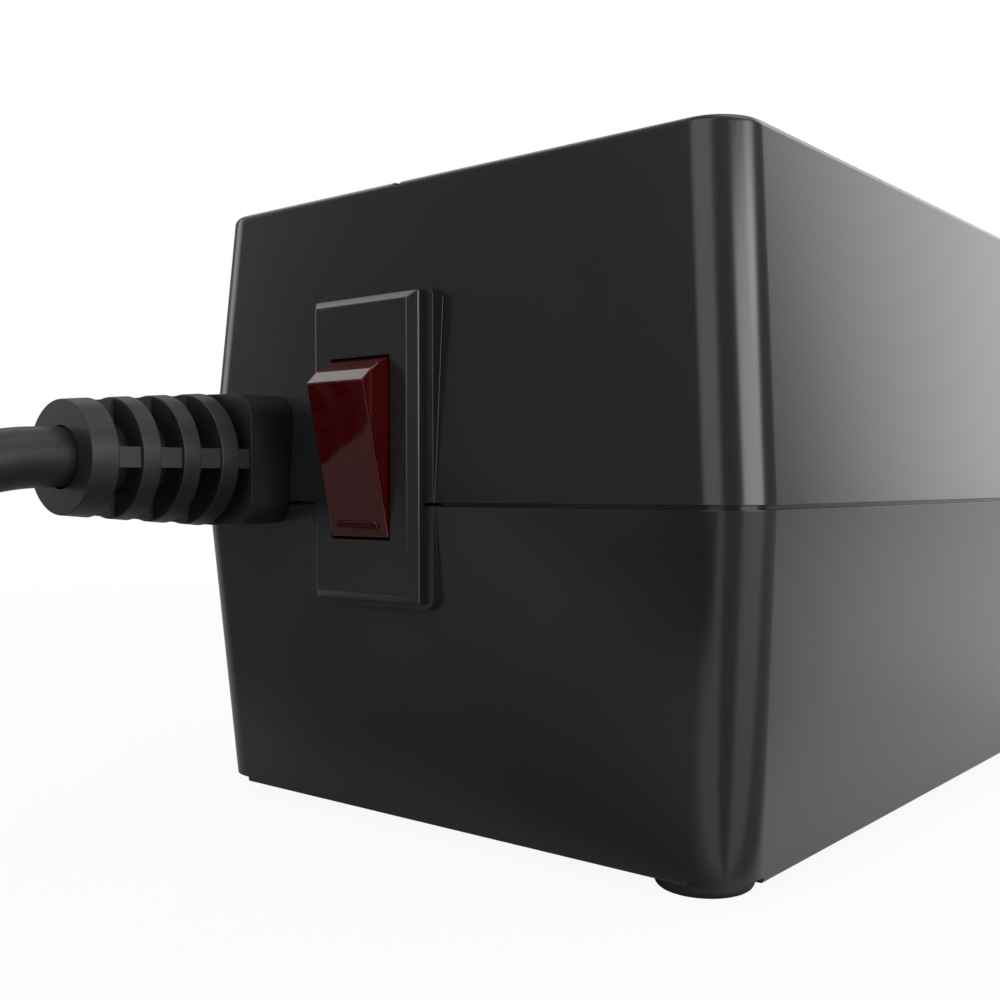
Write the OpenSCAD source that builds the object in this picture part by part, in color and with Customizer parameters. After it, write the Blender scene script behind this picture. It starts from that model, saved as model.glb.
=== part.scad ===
// Automatic voltage regulator: a moulded case in two shells, with a rocker
// switch and a mains cord in one end panel, eight mains receptacles in the top,
// and a tapped transformer, relays and a control board inside.
// +Z is up and +X runs from the switch end to the far end. The origin is the
// middle of the base of the box round the case and the switch, without the cord.

/* [Body] */
// Length over the end panels at the parting line
body_len = 160; // [156:1:190]
// Width over the long sides at the parting line
body_wid = 100; // [98:1:120]
// Height of the upper shell, from the parting line to the top
upper_h = 45.5; // [45:0.5:60]
// Height of the lower shell, from the skirt to the parting line
lower_h = 44.5; // [40:0.5:60]
// Wall of both shells
wall = 2.5; // [2:0.1:2.8]
// Radius of the upright corners
corner_r = 6.4; // [5:0.1:9]
// How far an end panel leans in at the top and at the skirt
end_lean = 2.9; // [1:0.1:3.4]
// How far a long side leans in at the top and at the skirt
side_lean = 3.4; // [1:0.1:3.8]
// Rounding of the edge of the top
top_round = 1; // [0.5:0.1:1.5]
// Open line between the two shells
line_gap = 0.5; // [0.2:0.1:0.8]
// How far the floor stands above the skirt
floor_rise = 1.2; // [0.8:0.1:2]
// Height of the slot that is cut out of the skirt at each corner
corner_slot_h = 0.75; // [0.4:0.05:1]

/* [Top] */
// Receptacles in each of the two rows
row_count = 4; // [2:1:4]
// Distance between neighbouring receptacles in a row
row_pitch = 33; // [33:0.1:34]
// Distance between the two rows
row_gap = 43; // [40:0.5:43]
// Where the lengthwise groove in the top lies, from the middle
groove_y = 7.05; // [6:0.05:7.5]
// Radius of the groove
groove_r = 0.7; // [0.4:0.1:1]
// Face of a receptacle along its row
face_w = 25.4; // [24:0.1:25.6]
// Face of a receptacle across its row
face_h = 27; // [26:0.1:28]
// Depth of a receptacle below the top
receptacle_depth = 18; // [16:0.5:20]
// Indicator lenses in the top
lens_count = 3; // [1:1:4]
// Distance between neighbouring lenses
lens_pitch = 12; // [8:0.5:14]
// Radius of a lens
lens_r = 2.2; // [1.5:0.1:3]

/* [Switch] */
// Middle of the switch, from the middle of the end panel
switch_y = 8.8; // [0:0.1:12]
// Middle of the switch above the parting line
switch_up = 7.75; // [0:0.25:9]
// Width of the bezel
bezel_w = 20.4; // [18:0.1:24]
// Height of the bezel
bezel_h = 42.5; // [38:0.5:44]
// How far the bezel stands out of the end panel
bezel_out = 2.5; // [2:0.1:3]
// Width of the rocker's opening
opening_w = 11.6; // [10:0.1:13]
// Height of the rocker's opening at the front of the bezel
opening_h = 25.2; // [23:0.1:27]
// How far the rocker's pivot lies behind the end panel
pivot_in = 2.4; // [2:0.1:3]
// Tilt of the rocker to either side
rocker_tilt = 12.7; // [10:0.1:14]

/* [Cord entry] */
// Middle of the strain relief, from the middle of the end panel
relief_y = 36.6; // [34:0.1:37]
// Middle of the strain relief above the parting line
relief_up = 6.5; // [4:0.25:8]
// Length of the strain relief outside the end panel
relief_len = 31.5; // [28:0.5:40]
// Radius of the strain relief's end disc
relief_r = 7.9; // [7:0.1:8.5]
// Diameter of the mains cord
cord_d = 8.2; // [7.6:0.1:8.2]

/* [Feet and screws] */
// Radius of a foot
foot_r = 6.2; // [5:0.1:7]
// How far a foot reaches below the skirt
foot_h = 2.4; // [1.5:0.1:4]
// Middle of a foot from the end of the body
foot_in_x = 11.5; // [11:0.1:12]
// Middle of the foot under the cord, from the end panel
foot_cord_in_x = 17; // [16:0.5:20]
// Middle of a foot from the side of the body
foot_in_y = 12.4; // [12:0.1:14]
// Radius of a case screw's shank
case_screw_r = 1.7; // [1.4:0.1:1.9]

/* [Transformer] */
// Width of a lamination
lamination_w = 66; // [60:1:66]
// Thickness of the stack of laminations
stack_t = 34; // [28:1:38]
// Height of the core above the floor
core_rise = 6; // [5:0.5:7]
// Thickness of the winding round the bobbin
winding_t = 8; // [5:0.5:8]

/* [Control board] */
// Length of the control board
board_len = 72; // [70:1:74]
// Width of the control board
board_wid = 62; // [60:1:64]
// Thickness of the control board
board_t = 1.6; // [1.2:0.1:2]
// Height of the control board above the floor
board_rise = 6; // [4:0.5:8]
// Distance between neighbouring relays
relay_pitch = 19; // [18:0.5:19]

/* [Plug] */
// Length of the plug's grip
grip_len = 30; // [26:1:34]
// Width of the plug's grip
grip_w = 25; // [24:0.5:28]
// Height of the plug's grip
grip_h = 23; // [22:0.5:24]
// Distance between the plug's two blades, and between a receptacle's two slots
blade_gap = 12.7; // [12.6:0.1:12.8]
// Distance from the line of the blades to the ground pin
ground_gap = 11.9; // [11.8:0.1:12]

/* [Hidden] */
$fn = 48;

// Overrun of every cut, thickness of a slice under a hull, and the usual gaps
cut = 1;
slice_h = 0.01;
fit_gap = 0.15;
thread_gap = 0.05;
air = 0.3;
round_step = 30;

// Colours
case_black = [0.07, 0.07, 0.07];
trim_black = [0.05, 0.05, 0.05];
rocker_red = [0.28, 0.02, 0.03];
rubber_black = [0.09, 0.09, 0.09];
board_green = [0.05, 0.28, 0.14];
brass = [0.78, 0.6, 0.28];
copper = [0.72, 0.38, 0.2];
steel = [0.62, 0.63, 0.65];

// Places of the body. The rocker's proud end reaches furthest out of the panel.
rocker_end_angle = 55.35;
rocker_air = 0.25;
opening_r = sqrt(pow(opening_h/2, 2) + pow(pivot_in + bezel_out, 2));
rocker_r = opening_r - rocker_air;
rocker_half = rocker_r*sin(rocker_end_angle);
rocker_face = rocker_r*cos(rocker_end_angle);
rocker_reach = rocker_face*cos(rocker_tilt) + rocker_half*sin(rocker_tilt) - pivot_in;
body_cx = rocker_reach/2;
panel_x = body_cx - body_len/2;
skirt_z = foot_h;
part_z = skirt_z + lower_h;
top_z = part_z + upper_h;
floor_z = skirt_z + floor_rise;
floor_in_z = floor_z + wall;
roof_z = top_z - wall;

// The tongue on the lower shell, in a rebate of the upper one
tongue_t = 1.1;
tongue_h = 2;
tongue_in = wall/10;
rebate_in = wall - tongue_in - tongue_t - fit_gap;
corner_slot_w = corner_r + cut + air;

// Screws: shank, head and the gap under a head
small_screw_r = 1.2;
small_head_r = 2.6;
small_head_h = 1.8;
small_screw_len = 7;
small_boss_r = 2.4;
post_r = 3;
case_head_r = 3.3;
case_head_h = 2.4;
case_screw_len = 26;
case_boss_r = 4.6;
upper_boss_r = 4;
screw_land = 12;
screw_web = 3;
short_boss_h = 18;
relief_screw_x = 30;
relief_screw_in_y = 9.5;

// Feet: the ring that meets the floor, and the stem in its socket
foot_round = 0.9;
foot_stem_r = 3.4;
foot_stem_h = 3.5;
socket_r = foot_stem_r + thread_gap;
socket_h = foot_stem_h + air;

// Receptacles
face_drop = 0.4;
face_round = 2;
flange_rim = 1.2;
flange_t = 1.6;
body_rim = 0.8;
slot_line = -5.5;
slot_t = 2.2;
live_slot_len = 7.2;
neutral_slot_len = 8.4;
ground_hole_r = 2.6;
face_t = 5;
tray_t = 2;
receptacle_z = top_z - receptacle_depth;
tray_z = receptacle_z - tray_t;

// Contacts: strips on their edge with a pair of leaves under each slot
strip_t = 0.8;
strip_h = 5;
strip_off = 4.6;
leaf_t = 0.6;
leaf_w = 6.4;
leaf_len = 9.5;
leaf_gap = 1.3;
earth_strip_w = 5;
sleeve_r = 3.3;
sleeve_bore_r = 2.45;
sleeve_h = 8;

// Indicators
lens_x = 32;
lens_y = -38.3;
lens_head_h = 0.3;
led_r = 1.5;
led_h = 4;
led_base_h = 1;
lens_len = 6;
indicator_w = 10;
indicator_t = 1.2;
indicator_end = 10.5;
indicator_boss_in = 3.5;

// Switch housing, rocker and contacts, measured from the panel and the middle
pad_out = 0.3;
pad_back = 2.2;
pad_near = 11.8;
pad_far_lower = 12.35;
pad_far_upper = 10.3;
pad_margin = 0.9;
pad_round = 1.8;
bezel_side = 1;
bezel_bevel = 1.2;
housing_wall = 1.4;
housing_ledge = 1.1;
housing_depth = 17;
housing_floor = 2;
rocker_floor = 5.5;
chamber_wall = 2.2;
rocker_side_air = 0.2;
rocker_skirt = 1.5;
rocker_wall = 1.2;
bevel_angle = 65.1;
trunnion_r = 1.5;
trunnion_len = 0.9;
hub_r = 2.9;
stem_r = 2.1;
stem_bore_r = 1.25;
stem_end = 3.2;
plunger_r = 1.15;
plunger_end = 6.4;
plunger_back = 1;
spring_wire = 0.35;
spring_turns = 5;
spring_len = 3.3;
lamp_r = 1.6;
lamp_len = 5.4;
lamp_q = 6.6;
mark_len = 8.3;
mark_h = 1.2;
mark_line = 0.3;
mark_out = 0.2;
mark_q = 9.2;
lever_t = 0.8;
lever_w = 5;
lever_half = 9.6;
lever_tilt = 7;
lever_pin_r = 0.8;
lever_pin_gap = 0.06;
lever_pin_half = 3.9;
ear_t = 1;
ear_gap = 0.3;
ear_half = 1.7;
contact_q = 8;
contact_r = 1.4;
contact_h = 0.6;
yoke_in = 2.1;
terminal_t = 0.8;
terminal_w = 6.3;
terminal_len = 10;
terminal_up = 9;

// Strain relief: a tapered stack of rings on a core, with a spine at each side
relief_grow = 0.085;
relief_cut_shares = [0.125, 0.235, 0.322, 0.432, 0.517, 0.625, 0.713, 0.778];
relief_core_r = 5;
relief_spine_h = 2.8;
relief_spine_in = 0.5;
relief_top_spine_in = 0.2;
relief_block_over = 0.1;
relief_edge = 0.5;
relief_block_w = 20;
relief_block_h = 19.4;
relief_block_round = 4;
relief_neck = 15;
relief_flange_t = 2.5;
relief_flange_w = 19;
relief_hole_gap = 0.25;
relief_hole_depth = 3;
jacket_stub = 6;

// Transformer, from the sizes of one lamination: legs, windows and yokes
leg = lamination_w/3;
yoke = lamination_w/6;
lamination_h = 5*yoke;
window_h = 3*yoke;
transformer_in = 38;
bobbin_t = 1.2;
tape_t = 0.4;
bracket_t = 1.2;
bracket_w = 30;
bracket_foot = 9;
bracket_screw_r = 1.9;
bracket_head_r = 3.4;
bracket_head_h = 2.2;
bracket_screw_len = 8;
bracket_boss_r = 4;
rib_w = 4;

// Control board and what stands on it
board_in = 18;
board_hole_in = 4;
relay_l = 19;
relay_w = 15.4;
relay_h = 15.5;
relay_in = 53.5;
relay_round = 0.8;
can_r = 8;
can_h = 23;
small_can_r = 5;
small_can_h = 14;
film_l = 24;
film_w = 10;
film_h = 18;
chip_l = 19;
chip_w = 6.4;
chip_h = 3.4;
pin_pitch = 2.54;
pin_w = 0.6;
pin_t = 0.3;
chip_lift = 0.6;
diode_r = 1.4;
diode_l = 5.2;
diode_lead_r = 0.4;
diode_pitch = 5;
varistor_r = 7;
varistor_t = 4.2;
fuse_r = 2.6;
fuse_l = 20;
fuse_cap_l = 5;
fuse_cap_t = 0.2;
clip_t = 0.5;
clip_w = 4;
clip_rise = 2;
tab_w = 4.8;
tab_t = 0.8;
tab_h = 8;
tab_pitch = 7;
tab_count = 7;
tab_in = 66.5;
relay_base_h = 1.5;
relay_step = 0.6;
can_groove = 0.4;
can_x = 12;
can_y = 17;
small_can_x = 27;
small_can_y = 21;
film_x = 22;
film_y = -24;
chip_x = 26;
chip_y = 3;
chip_pins = 7;
diode_x = 38;
diode_y = 10;
diode_count = 4;
diode_lead = 1.8;
diode_lift = 0.6;
varistor_x = 37.5;
varistor_y = -12;
varistor_lift = 1;
fuse_x = 24;
fuse_y = -11;
lamp_wire_x = 59;
lamp_wire_y = 2;
cable_x = 58;
cable_y = -27;

// Wires
wire_r = 1.1;
wire_start_in = 0.45;
thin_wire_r = 0.7;
bend_steps = 4;
wire_sides = 8;
sleeve_wall = 0.6;
sleeve_cover = 6;
sleeve_over = 3;

// The cord beyond the strain relief, in the row frame. It runs straight out,
// falls to the floor and meets the coil's outer turn.
lead_points = [
    [-104.8, 36.6, 53.4], [-110, 36.6, 53.4], [-116, 36.6, 52.9], [-124, 36.6, 51.1],
    [-134, 36.6, 47.2], [-146, 36.6, 40.3], [-160, 36.6, 30.5], [-174, 36.6, 20.4],
    [-188, 36.6, 12.2], [-202, 36.6, 7.2], [-216, 36.6, 5.1], [-223, 36.6, 4.8], [-230, 36.6, 4.8]
];
// From the coil's end the cord climbs over its turns and runs into the plug.
tail_points = [
    [-282.8, -18.4, 13.5], [-282.3, -28, 13.7], [-278.8, -41, 14.6], [-272, -53, 16.2],
    [-262, -63, 18.2], [-250, -69.7, 20.2], [-237, -73, 22.2], [-224, -72.4, 24.2],
    [-211.5, -67.4, 26], [-201, -58.8, 27.6], [-193.8, -47.6, 28.8], [-190.4, -37, 29.3],
    [-190, -28, 29.4], [-190, -20, 29.4]
];
coil_middle = [-230, -18.4];
coil_r = 55;
coil_pitch = 8.8;
coil_layer = 8.7;
coil_lift = 0.7;
coil_in_turns = 2.25;
coil_out_turns = 2;
coil_steps = 24;
coil_sides = 6;
cord_sides = 10;
tie_angle = 105;
tie_t = 0.6;
tie_w = 8;
tie_air = 0.45;
tie_floor_air = 0.08;
tie_round = 3;

// Plug, along +Y on top of the coil
plug_relief_len = 20;
plug_relief_r = 6.4;
plug_relief_end_r = 5.2;
plug_groove = 1;
plug_ring_count = 4;
plug_ring_share = 0.7;
plug_neck_share = 0.62;
plug_round = 4;
plug_hole_depth = 3;
blade_w = 6.35;
blade_t = 1.5;
blade_len = 17.5;
ground_pin_r = 2.38;
ground_pin_len = 20.5;
blade_line = -5;
blade_root = 6;

// Small geometry helpers
module along_x(h) rotate([90, 0, 90]) linear_extrude(h) children();
module rounded(w, h, r) {
    square([w - 2*r, h], center = true);
    square([w, h - 2*r], center = true);
    for (x = [-1, 1], y = [-1, 1]) translate([x*(w/2 - r), y*(h/2 - r)]) circle(r = r);
}
module block(size) translate([-size.x/2, -size.y/2, 0]) cube(size);
module from_panel() translate([panel_x, 0, 0]) children();
module at_switch() translate([panel_x, switch_y, part_z + switch_up]) children();
module at_relief() translate([panel_x, relief_y, part_z + relief_up]) children();
module rod_y(r, len) rotate([90, 0, 0]) cylinder(r = r, h = len, center = true);

function unit(v) = v/norm(v);
function bend(p, i) = unit(p[min(i + 1, len(p) - 1)] - p[max(i - 1, 0)]);
function square_to(v, t) = unit(v - (v*t)*t);
function first_side(t) = square_to(abs(t.z) < 0.9 ? [0, 0, 1] : [1, 0, 0], t);
// The side direction at each point, carried along the line without twist
function sides_of(p, i = 0, side = undef, all = []) =
    i == len(p) ? all :
    let (t = bend(p, i), s = side == undef ? first_side(t) : square_to(side, t))
    sides_of(p, i + 1, s, concat(all, [s]));
// A smooth line through the given points
function smooth(p, steps) = concat([for (i = [0 : len(p) - 2], k = [0 : steps - 1])
    let (
        a = p[max(i - 1, 0)], b = p[i], c = p[i + 1], d = p[min(i + 2, len(p) - 1)],
        u = k/steps
    )
    (2*b + (c - a)*u + (2*a - 5*b + 4*c - d)*u*u + (3*b - a - 3*c + d)*u*u*u)/2
], [p[len(p) - 1]]);
function length_of(p) = len(p) < 2 ? 0 : [for (i = 1, s = norm(p[1] - p[0]); i < len(p);
    i = i + 1, s = s + (i < len(p) ? norm(p[i] - p[i - 1]) : 0)) s][len(p) - 2];

// One closed tube along a line of points, its ends cut square
module tube(p, r, n) {
    sides = sides_of(p);
    rings = [for (i = [0 : len(p) - 1]) let (t = bend(p, i), s = sides[i], w = cross(t, s))
        for (k = [0 : n - 1]) p[i] + r*(cos(360*k/n)*s + sin(360*k/n)*w)];
    last = n*(len(p) - 1);
    walls = [for (i = [0 : len(p) - 2], k = [0 : n - 1])
        let (a = n*i + k, b = n*i + (k + 1)%n)
        each [[a, a + n, b], [b, a + n, b + n]]];
    ends = [for (k = [1 : n - 2]) each [[0, k, k + 1], [last, last + k + 1, last + k]]];
    polyhedron(points = rings, faces = concat(walls, ends));
}

// Body: how far its sides stand in at a height, and a thin slice of it
function lean_share(z) = z > part_z ? (z - part_z)/upper_h : (part_z - z)/lower_h;
module plan(z, in) rounded(
    body_len - 2*(in + end_lean*lean_share(z)),
    body_wid - 2*(in + side_lean*lean_share(z)),
    corner_r - in
);
module body_slice(z, in) translate([body_cx, 0, z]) linear_extrude(slice_h) plan(z, in);
module level_slab(z, h, in) translate([body_cx, 0, z]) linear_extrude(h) plan(part_z, in);

module upper_outer() hull() {
    body_slice(part_z, 0);
    for (a = [0 : round_step : 90])
        body_slice(top_z - top_round*(1 - sin(a)) - slice_h, top_round*(1 - cos(a)));
}
module upper_inner() hull() {
    body_slice(part_z, wall);
    body_slice(roof_z - slice_h, wall);
}
module lower_outer() hull() {
    body_slice(part_z - slice_h, 0);
    body_slice(skirt_z, 0);
}
module lower_inner() hull() {
    body_slice(part_z, wall);
    body_slice(floor_in_z, wall);
}

// Places that repeat
foot_y = body_wid/2 - foot_in_y;
foot_places = [
    [foot_in_x, -foot_y], [foot_cord_in_x, foot_y],
    [body_len - foot_in_x, -foot_y], [body_len - foot_in_x, foot_y]
];
under_foot_screws = [foot_places[0], foot_places[2], foot_places[3]];
relief_screw = [relief_screw_x, body_wid/2 - relief_screw_in_y];
function row_x(i) = (i - (row_count - 1)/2)*row_pitch;
module in_row(far) translate([body_cx, groove_y + (far ? row_gap : -row_gap)/2, 0])
    rotate([0, 0, far ? 0 : 180]) children();
module each_row() for (far = [false, true]) in_row(far) children();
module each_tray_boss() for (i = [0 : row_count - 2])
    translate([row_x(i + 1/2), slot_line, 0]) children();
module each_lens() for (i = [0 : lens_count - 1])
    translate([panel_x + lens_x + i*lens_pitch, lens_y, 0]) children();
module each_indicator_boss() for (s = [0, 1])
    translate([panel_x + indicator_x0 + indicator_boss_in + s*(indicator_len - 2*indicator_boss_in), lens_y, 0])
        children();
indicator_x0 = lens_x - indicator_end;
indicator_len = (lens_count - 1)*lens_pitch + 2*indicator_end;

module switch_pad(far_reach) at_switch() translate([-pad_out, 0, 0]) along_x(pad_out + wall + pad_back)
    translate([(far_reach - pad_near)/2, 0])
        rounded(pad_near + far_reach, bezel_h + 2*pad_margin, pad_round);
housing_w = opening_w + 2*housing_wall;
housing_h = 2*(opening_r + housing_ledge);
module switch_hole() at_switch() translate([-cut - pad_out, 0, 0])
    along_x(2*cut + pad_out + wall + pad_back + end_lean)
        square([housing_w + 2*fit_gap, housing_h + 2*fit_gap], center = true);
module relief_hole() at_relief() translate([-cut, 0, 0]) along_x(2*cut + wall + end_lean)
    square(relief_neck + 2*fit_gap, center = true);

// What stands on the floor, measured from the panel
board_z = floor_in_z + board_rise;
board_top = board_z + board_t;
transformer_x = body_len - transformer_in;
core_z = floor_in_z + core_rise;
bracket_screw_y = lamination_w/2 + bracket_t + bracket_foot/2;
module board_post_places() for (x = [board_hole_in, board_len - board_hole_in], s = [-1, 1])
    translate([board_in + x, s*(board_wid/2 - board_hole_in), 0]) children();
module bracket_places() for (s = [-1, 1]) translate([transformer_x, s*bracket_screw_y, 0]) children();
module board_posts() board_post_places() translate([0, 0, floor_z + wall/2])
    cylinder(r = post_r, h = wall/2 + board_rise);
module bracket_bosses() bracket_places() translate([0, 0, floor_z + wall/2])
    cylinder(r = bracket_boss_r, h = wall/2 + core_rise);
module core_ribs() for (s = [-1, 1])
    translate([transformer_x + s*(stack_t/2 - rib_w), 0, floor_z + wall/2])
        block([rib_w, lamination_w - 2*rib_w, wall/2 + core_rise]);

module upper_shell() color(case_black) difference() {
    union() {
        difference() {
            upper_outer();
            upper_inner();
        }
        switch_pad(pad_far_upper);
        from_panel() {
            for (p = under_foot_screws) translate([p.x, p.y, part_z])
                cylinder(r = upper_boss_r, h = roof_z + slice_h - part_z);
            translate([relief_screw.x, relief_screw.y, part_z]) {
                cylinder(r = upper_boss_r, h = short_boss_h);
                translate([-screw_web/2, 0, 0])
                    cube([screw_web, relief_screw_in_y - side_lean*short_boss_h/upper_h - wall/2, short_boss_h]);
            }
        }
        each_row() each_tray_boss() translate([0, 0, receptacle_z])
            cylinder(r = small_boss_r, h = roof_z + slice_h - receptacle_z);
        each_indicator_boss() translate([0, 0, indicator_z + indicator_t])
            cylinder(r = small_boss_r, h = roof_z + slice_h - indicator_z - indicator_t);
    }
    level_slab(part_z - lower_h, lower_h + line_gap/2, -cut - bezel_out);
    difference() {
        level_slab(part_z - cut, cut + tongue_h, rebate_in);
        level_slab(part_z - 2*cut, 3*cut + tongue_h, wall + air);
    }
    each_row() for (i = [0 : row_count - 1]) translate([row_x(i), 0, roof_z - cut])
        linear_extrude(wall + 2*cut) rounded(face_w + 2*fit_gap, face_h + 2*fit_gap, face_round);
    each_lens() translate([0, 0, roof_z - cut]) cylinder(r = lens_r + fit_gap, h = wall + 2*cut);
    translate([panel_x - cut, groove_y, top_z - groove_r/4]) rotate([0, 90, 0])
        cylinder(r = groove_r, h = body_len + 2*cut);
    switch_hole();
    relief_hole();
    from_panel() for (p = concat(under_foot_screws, [relief_screw])) translate([p.x, p.y, part_z - cut])
        cylinder(r = case_screw_r + thread_gap, h = cut + case_screw_len - screw_land + air);
    each_row() each_tray_boss() translate([0, 0, receptacle_z - cut])
        cylinder(r = small_screw_r + thread_gap, h = cut + small_screw_len - tray_t + air);
    each_indicator_boss() translate([0, 0, indicator_z])
        cylinder(r = small_screw_r + thread_gap, h = small_screw_len + air);
}

// The lower shell's tongue stands in the rebate of the upper shell and meets its
// top, which holds the line between the two walls open.
module lower_shell() color(case_black) difference() {
    union() {
        difference() {
            lower_outer();
            lower_inner();
            level_slab(part_z - line_gap/2, line_gap, -cut);
        }
        difference() {
            level_slab(part_z - tongue_h, 2*tongue_h, wall - tongue_in - tongue_t);
            level_slab(part_z - tongue_h - cut, 2*tongue_h + 2*cut, wall - tongue_in);
        }
        intersection() {
            switch_pad(pad_far_lower);
            level_slab(skirt_z, lower_h - line_gap/2, -cut);
        }
        from_panel() {
            for (p = concat(under_foot_screws, [relief_screw])) translate([p.x, p.y, floor_z])
                cylinder(r = case_boss_r, h = part_z + line_gap/2 - floor_z);
            translate([foot_places[1].x, foot_places[1].y, floor_z])
                cylinder(r = case_boss_r, h = socket_h + wall);
            board_posts();
            bracket_bosses();
            core_ribs();
        }
    }
    translate([body_cx, 0, skirt_z - cut]) linear_extrude(cut + floor_rise) plan(skirt_z, wall);
    for (sx = [-1, 1], sy = [-1, 1])
        translate([
            body_cx + sx*(body_len/2 - end_lean + cut - corner_slot_w/2),
            sy*(body_wid/2 - side_lean + cut - corner_slot_w/2),
            skirt_z - cut
        ]) block([corner_slot_w, corner_slot_w, cut + corner_slot_h]);
    from_panel() {
        for (p = concat(under_foot_screws, [relief_screw])) translate([p.x, p.y, 0]) {
            cylinder(r = socket_r, h = part_z - screw_land);
            translate([0, 0, part_z - screw_land - slice_h])
                cylinder(r = case_screw_r + fit_gap, h = screw_land + cut);
        }
        translate([foot_places[1].x, foot_places[1].y, 0]) cylinder(r = socket_r, h = floor_z + socket_h);
        board_post_places() translate([0, 0, floor_z + wall])
            cylinder(r = small_screw_r + thread_gap, h = board_rise + cut);
        bracket_places() translate([0, 0, floor_z + wall/2])
            cylinder(r = bracket_screw_r + thread_gap, h = wall/2 + core_rise + cut);
    }
    switch_hole();
    relief_hole();
}

// Receptacles: a face that shows in the top, a rim under the roof, and a body
// with hollows for the contacts. They stand on a tray that is screwed to bosses.
receptacle_w = face_w - 2*body_rim;
receptacle_h = face_h - 2*body_rim;
leaf_z = receptacle_z + strip_t;
hollow_top = top_z - face_drop - face_t;
module receptacle(far, i) color(trim_black) in_row(far) translate([row_x(i), 0, 0]) difference() {
    union() {
        translate([0, 0, roof_z - flange_t]) linear_extrude(top_z - face_drop - roof_z + flange_t)
            rounded(face_w, face_h, face_round);
        translate([0, 0, roof_z - flange_t]) linear_extrude(flange_t)
            rounded(face_w + 2*flange_rim, face_h + 2*flange_rim, face_round);
        translate([0, 0, receptacle_z])
            block([receptacle_w, receptacle_h, roof_z - flange_t/2 - receptacle_z]);
    }
    for (s = [-1, 1]) translate([s*blade_gap/2, slot_line, 0]) {
        translate([0, 0, hollow_top - cut])
            block([slot_t, s < 0 ? live_slot_len : neutral_slot_len, face_t + 2*cut]);
        translate([0, 0, receptacle_z - cut])
            block([leaf_gap + 2*leaf_t + 4*air, leaf_w + 4*air, hollow_top - receptacle_z + cut]);
        translate([0, s*strip_off/2, receptacle_z - cut])
            block([leaf_gap + 2*leaf_t + 4*air, strip_off + leaf_w/2, cut + strip_t + air]);
        translate([0, s*strip_off, receptacle_z - cut])
            block([2*face_w, strip_t + 2*air, cut + strip_h + air]);
    }
    translate([0, slot_line + ground_gap, receptacle_z - cut]) {
        cylinder(r = ground_hole_r, h = receptacle_depth + 2*cut);
        cylinder(r = sleeve_r + air, h = cut + hollow_top - receptacle_z);
        block([2*face_w, earth_strip_w + 2*air, cut + strip_t + air]);
    }
}

tray_len = (row_count - 1)*row_pitch + face_w + 2*flange_rim;
module contact_tray(far) color(trim_black) in_row(far) difference() {
    translate([0, 0, tray_z]) linear_extrude(tray_t)
        rounded(tray_len, face_h + 2*flange_rim, face_round);
    each_tray_boss() translate([0, 0, tray_z - cut])
        cylinder(r = small_screw_r + fit_gap, h = tray_t + 2*cut);
}

// A contact strip of one row, with a pair of leaves at each slot on its side
module blade_strip(s) {
    translate([0, slot_line + s*strip_off, receptacle_z]) block([tray_len, strip_t, strip_h]);
    for (i = [0 : row_count - 1]) translate([row_x(i) + s*blade_gap/2, slot_line, receptacle_z]) {
        translate([0, s*(strip_off - leaf_w/2)/2, 0])
            block([leaf_gap + 2*leaf_t, strip_off + leaf_w/2, strip_t]);
        for (side = [-1, 1]) translate([side*(leaf_gap + leaf_t)/2, 0, 0])
            block([leaf_t, leaf_w, leaf_len]);
    }
}
module live_bus() color(brass) each_row() blade_strip(-1);
module neutral_bus() color(brass) each_row() blade_strip(1);
module earth_bus() color(brass) each_row() translate([0, slot_line + ground_gap, receptacle_z]) {
    difference() {
        block([tray_len, earth_strip_w, strip_t]);
        for (i = [0 : row_count - 1]) translate([row_x(i), 0, -cut])
            cylinder(r = sleeve_bore_r, h = strip_t + 2*cut);
    }
    for (i = [0 : row_count - 1]) translate([row_x(i), 0, strip_t]) difference() {
        cylinder(r = sleeve_r, h = sleeve_h - strip_t);
        translate([0, 0, -cut]) cylinder(r = sleeve_bore_r, h = sleeve_h + 2*cut);
    }
}

// Indicators: a lens in the top over each lamp on a small board
indicator_z = top_z - lens_len - thread_gap - led_h - led_base_h - indicator_t;
module indicator_lenses() color("white") each_lens() translate([0, 0, top_z - lens_len]) {
    cylinder(r = lens_r, h = lens_len + lens_head_h);
    cylinder(r = lens_r + flange_rim, h = lens_len - wall);
}
module indicator_leds() color("limegreen") each_lens()
    translate([0, 0, indicator_z + indicator_t]) {
        cylinder(r = led_r + led_base_h/2, h = led_base_h);
        cylinder(r = led_r, h = led_base_h + led_h - led_r);
        translate([0, 0, led_base_h + led_h - led_r]) sphere(r = led_r);
    }
module indicator_board() color(board_green) difference() {
    translate([panel_x + indicator_x0, lens_y - indicator_w/2, indicator_z])
        cube([indicator_len, indicator_w, indicator_t]);
    each_indicator_boss() translate([0, 0, indicator_z - cut])
        cylinder(r = small_screw_r + fit_gap, h = indicator_t + 2*cut);
}

// Switch: x runs into the case from the end panel
rocker_w = opening_w - 2*rocker_side_air;
lever_x = pivot_in + plunger_end + air;
lever_pin_x = lever_x + lever_t + lever_pin_gap;
contact_x = lever_x + lever_t + contact_h + contact_q*sin(lever_tilt) + air;
plate_x = contact_x + contact_h;
yoke_x = lever_pin_x + yoke_in;
chamber_end = housing_depth - housing_floor;
spring_back = spring_len - plunger_back + thread_gap;
module across_y(w) rotate([90, 0, 0]) linear_extrude(w, center = true) children();

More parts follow.
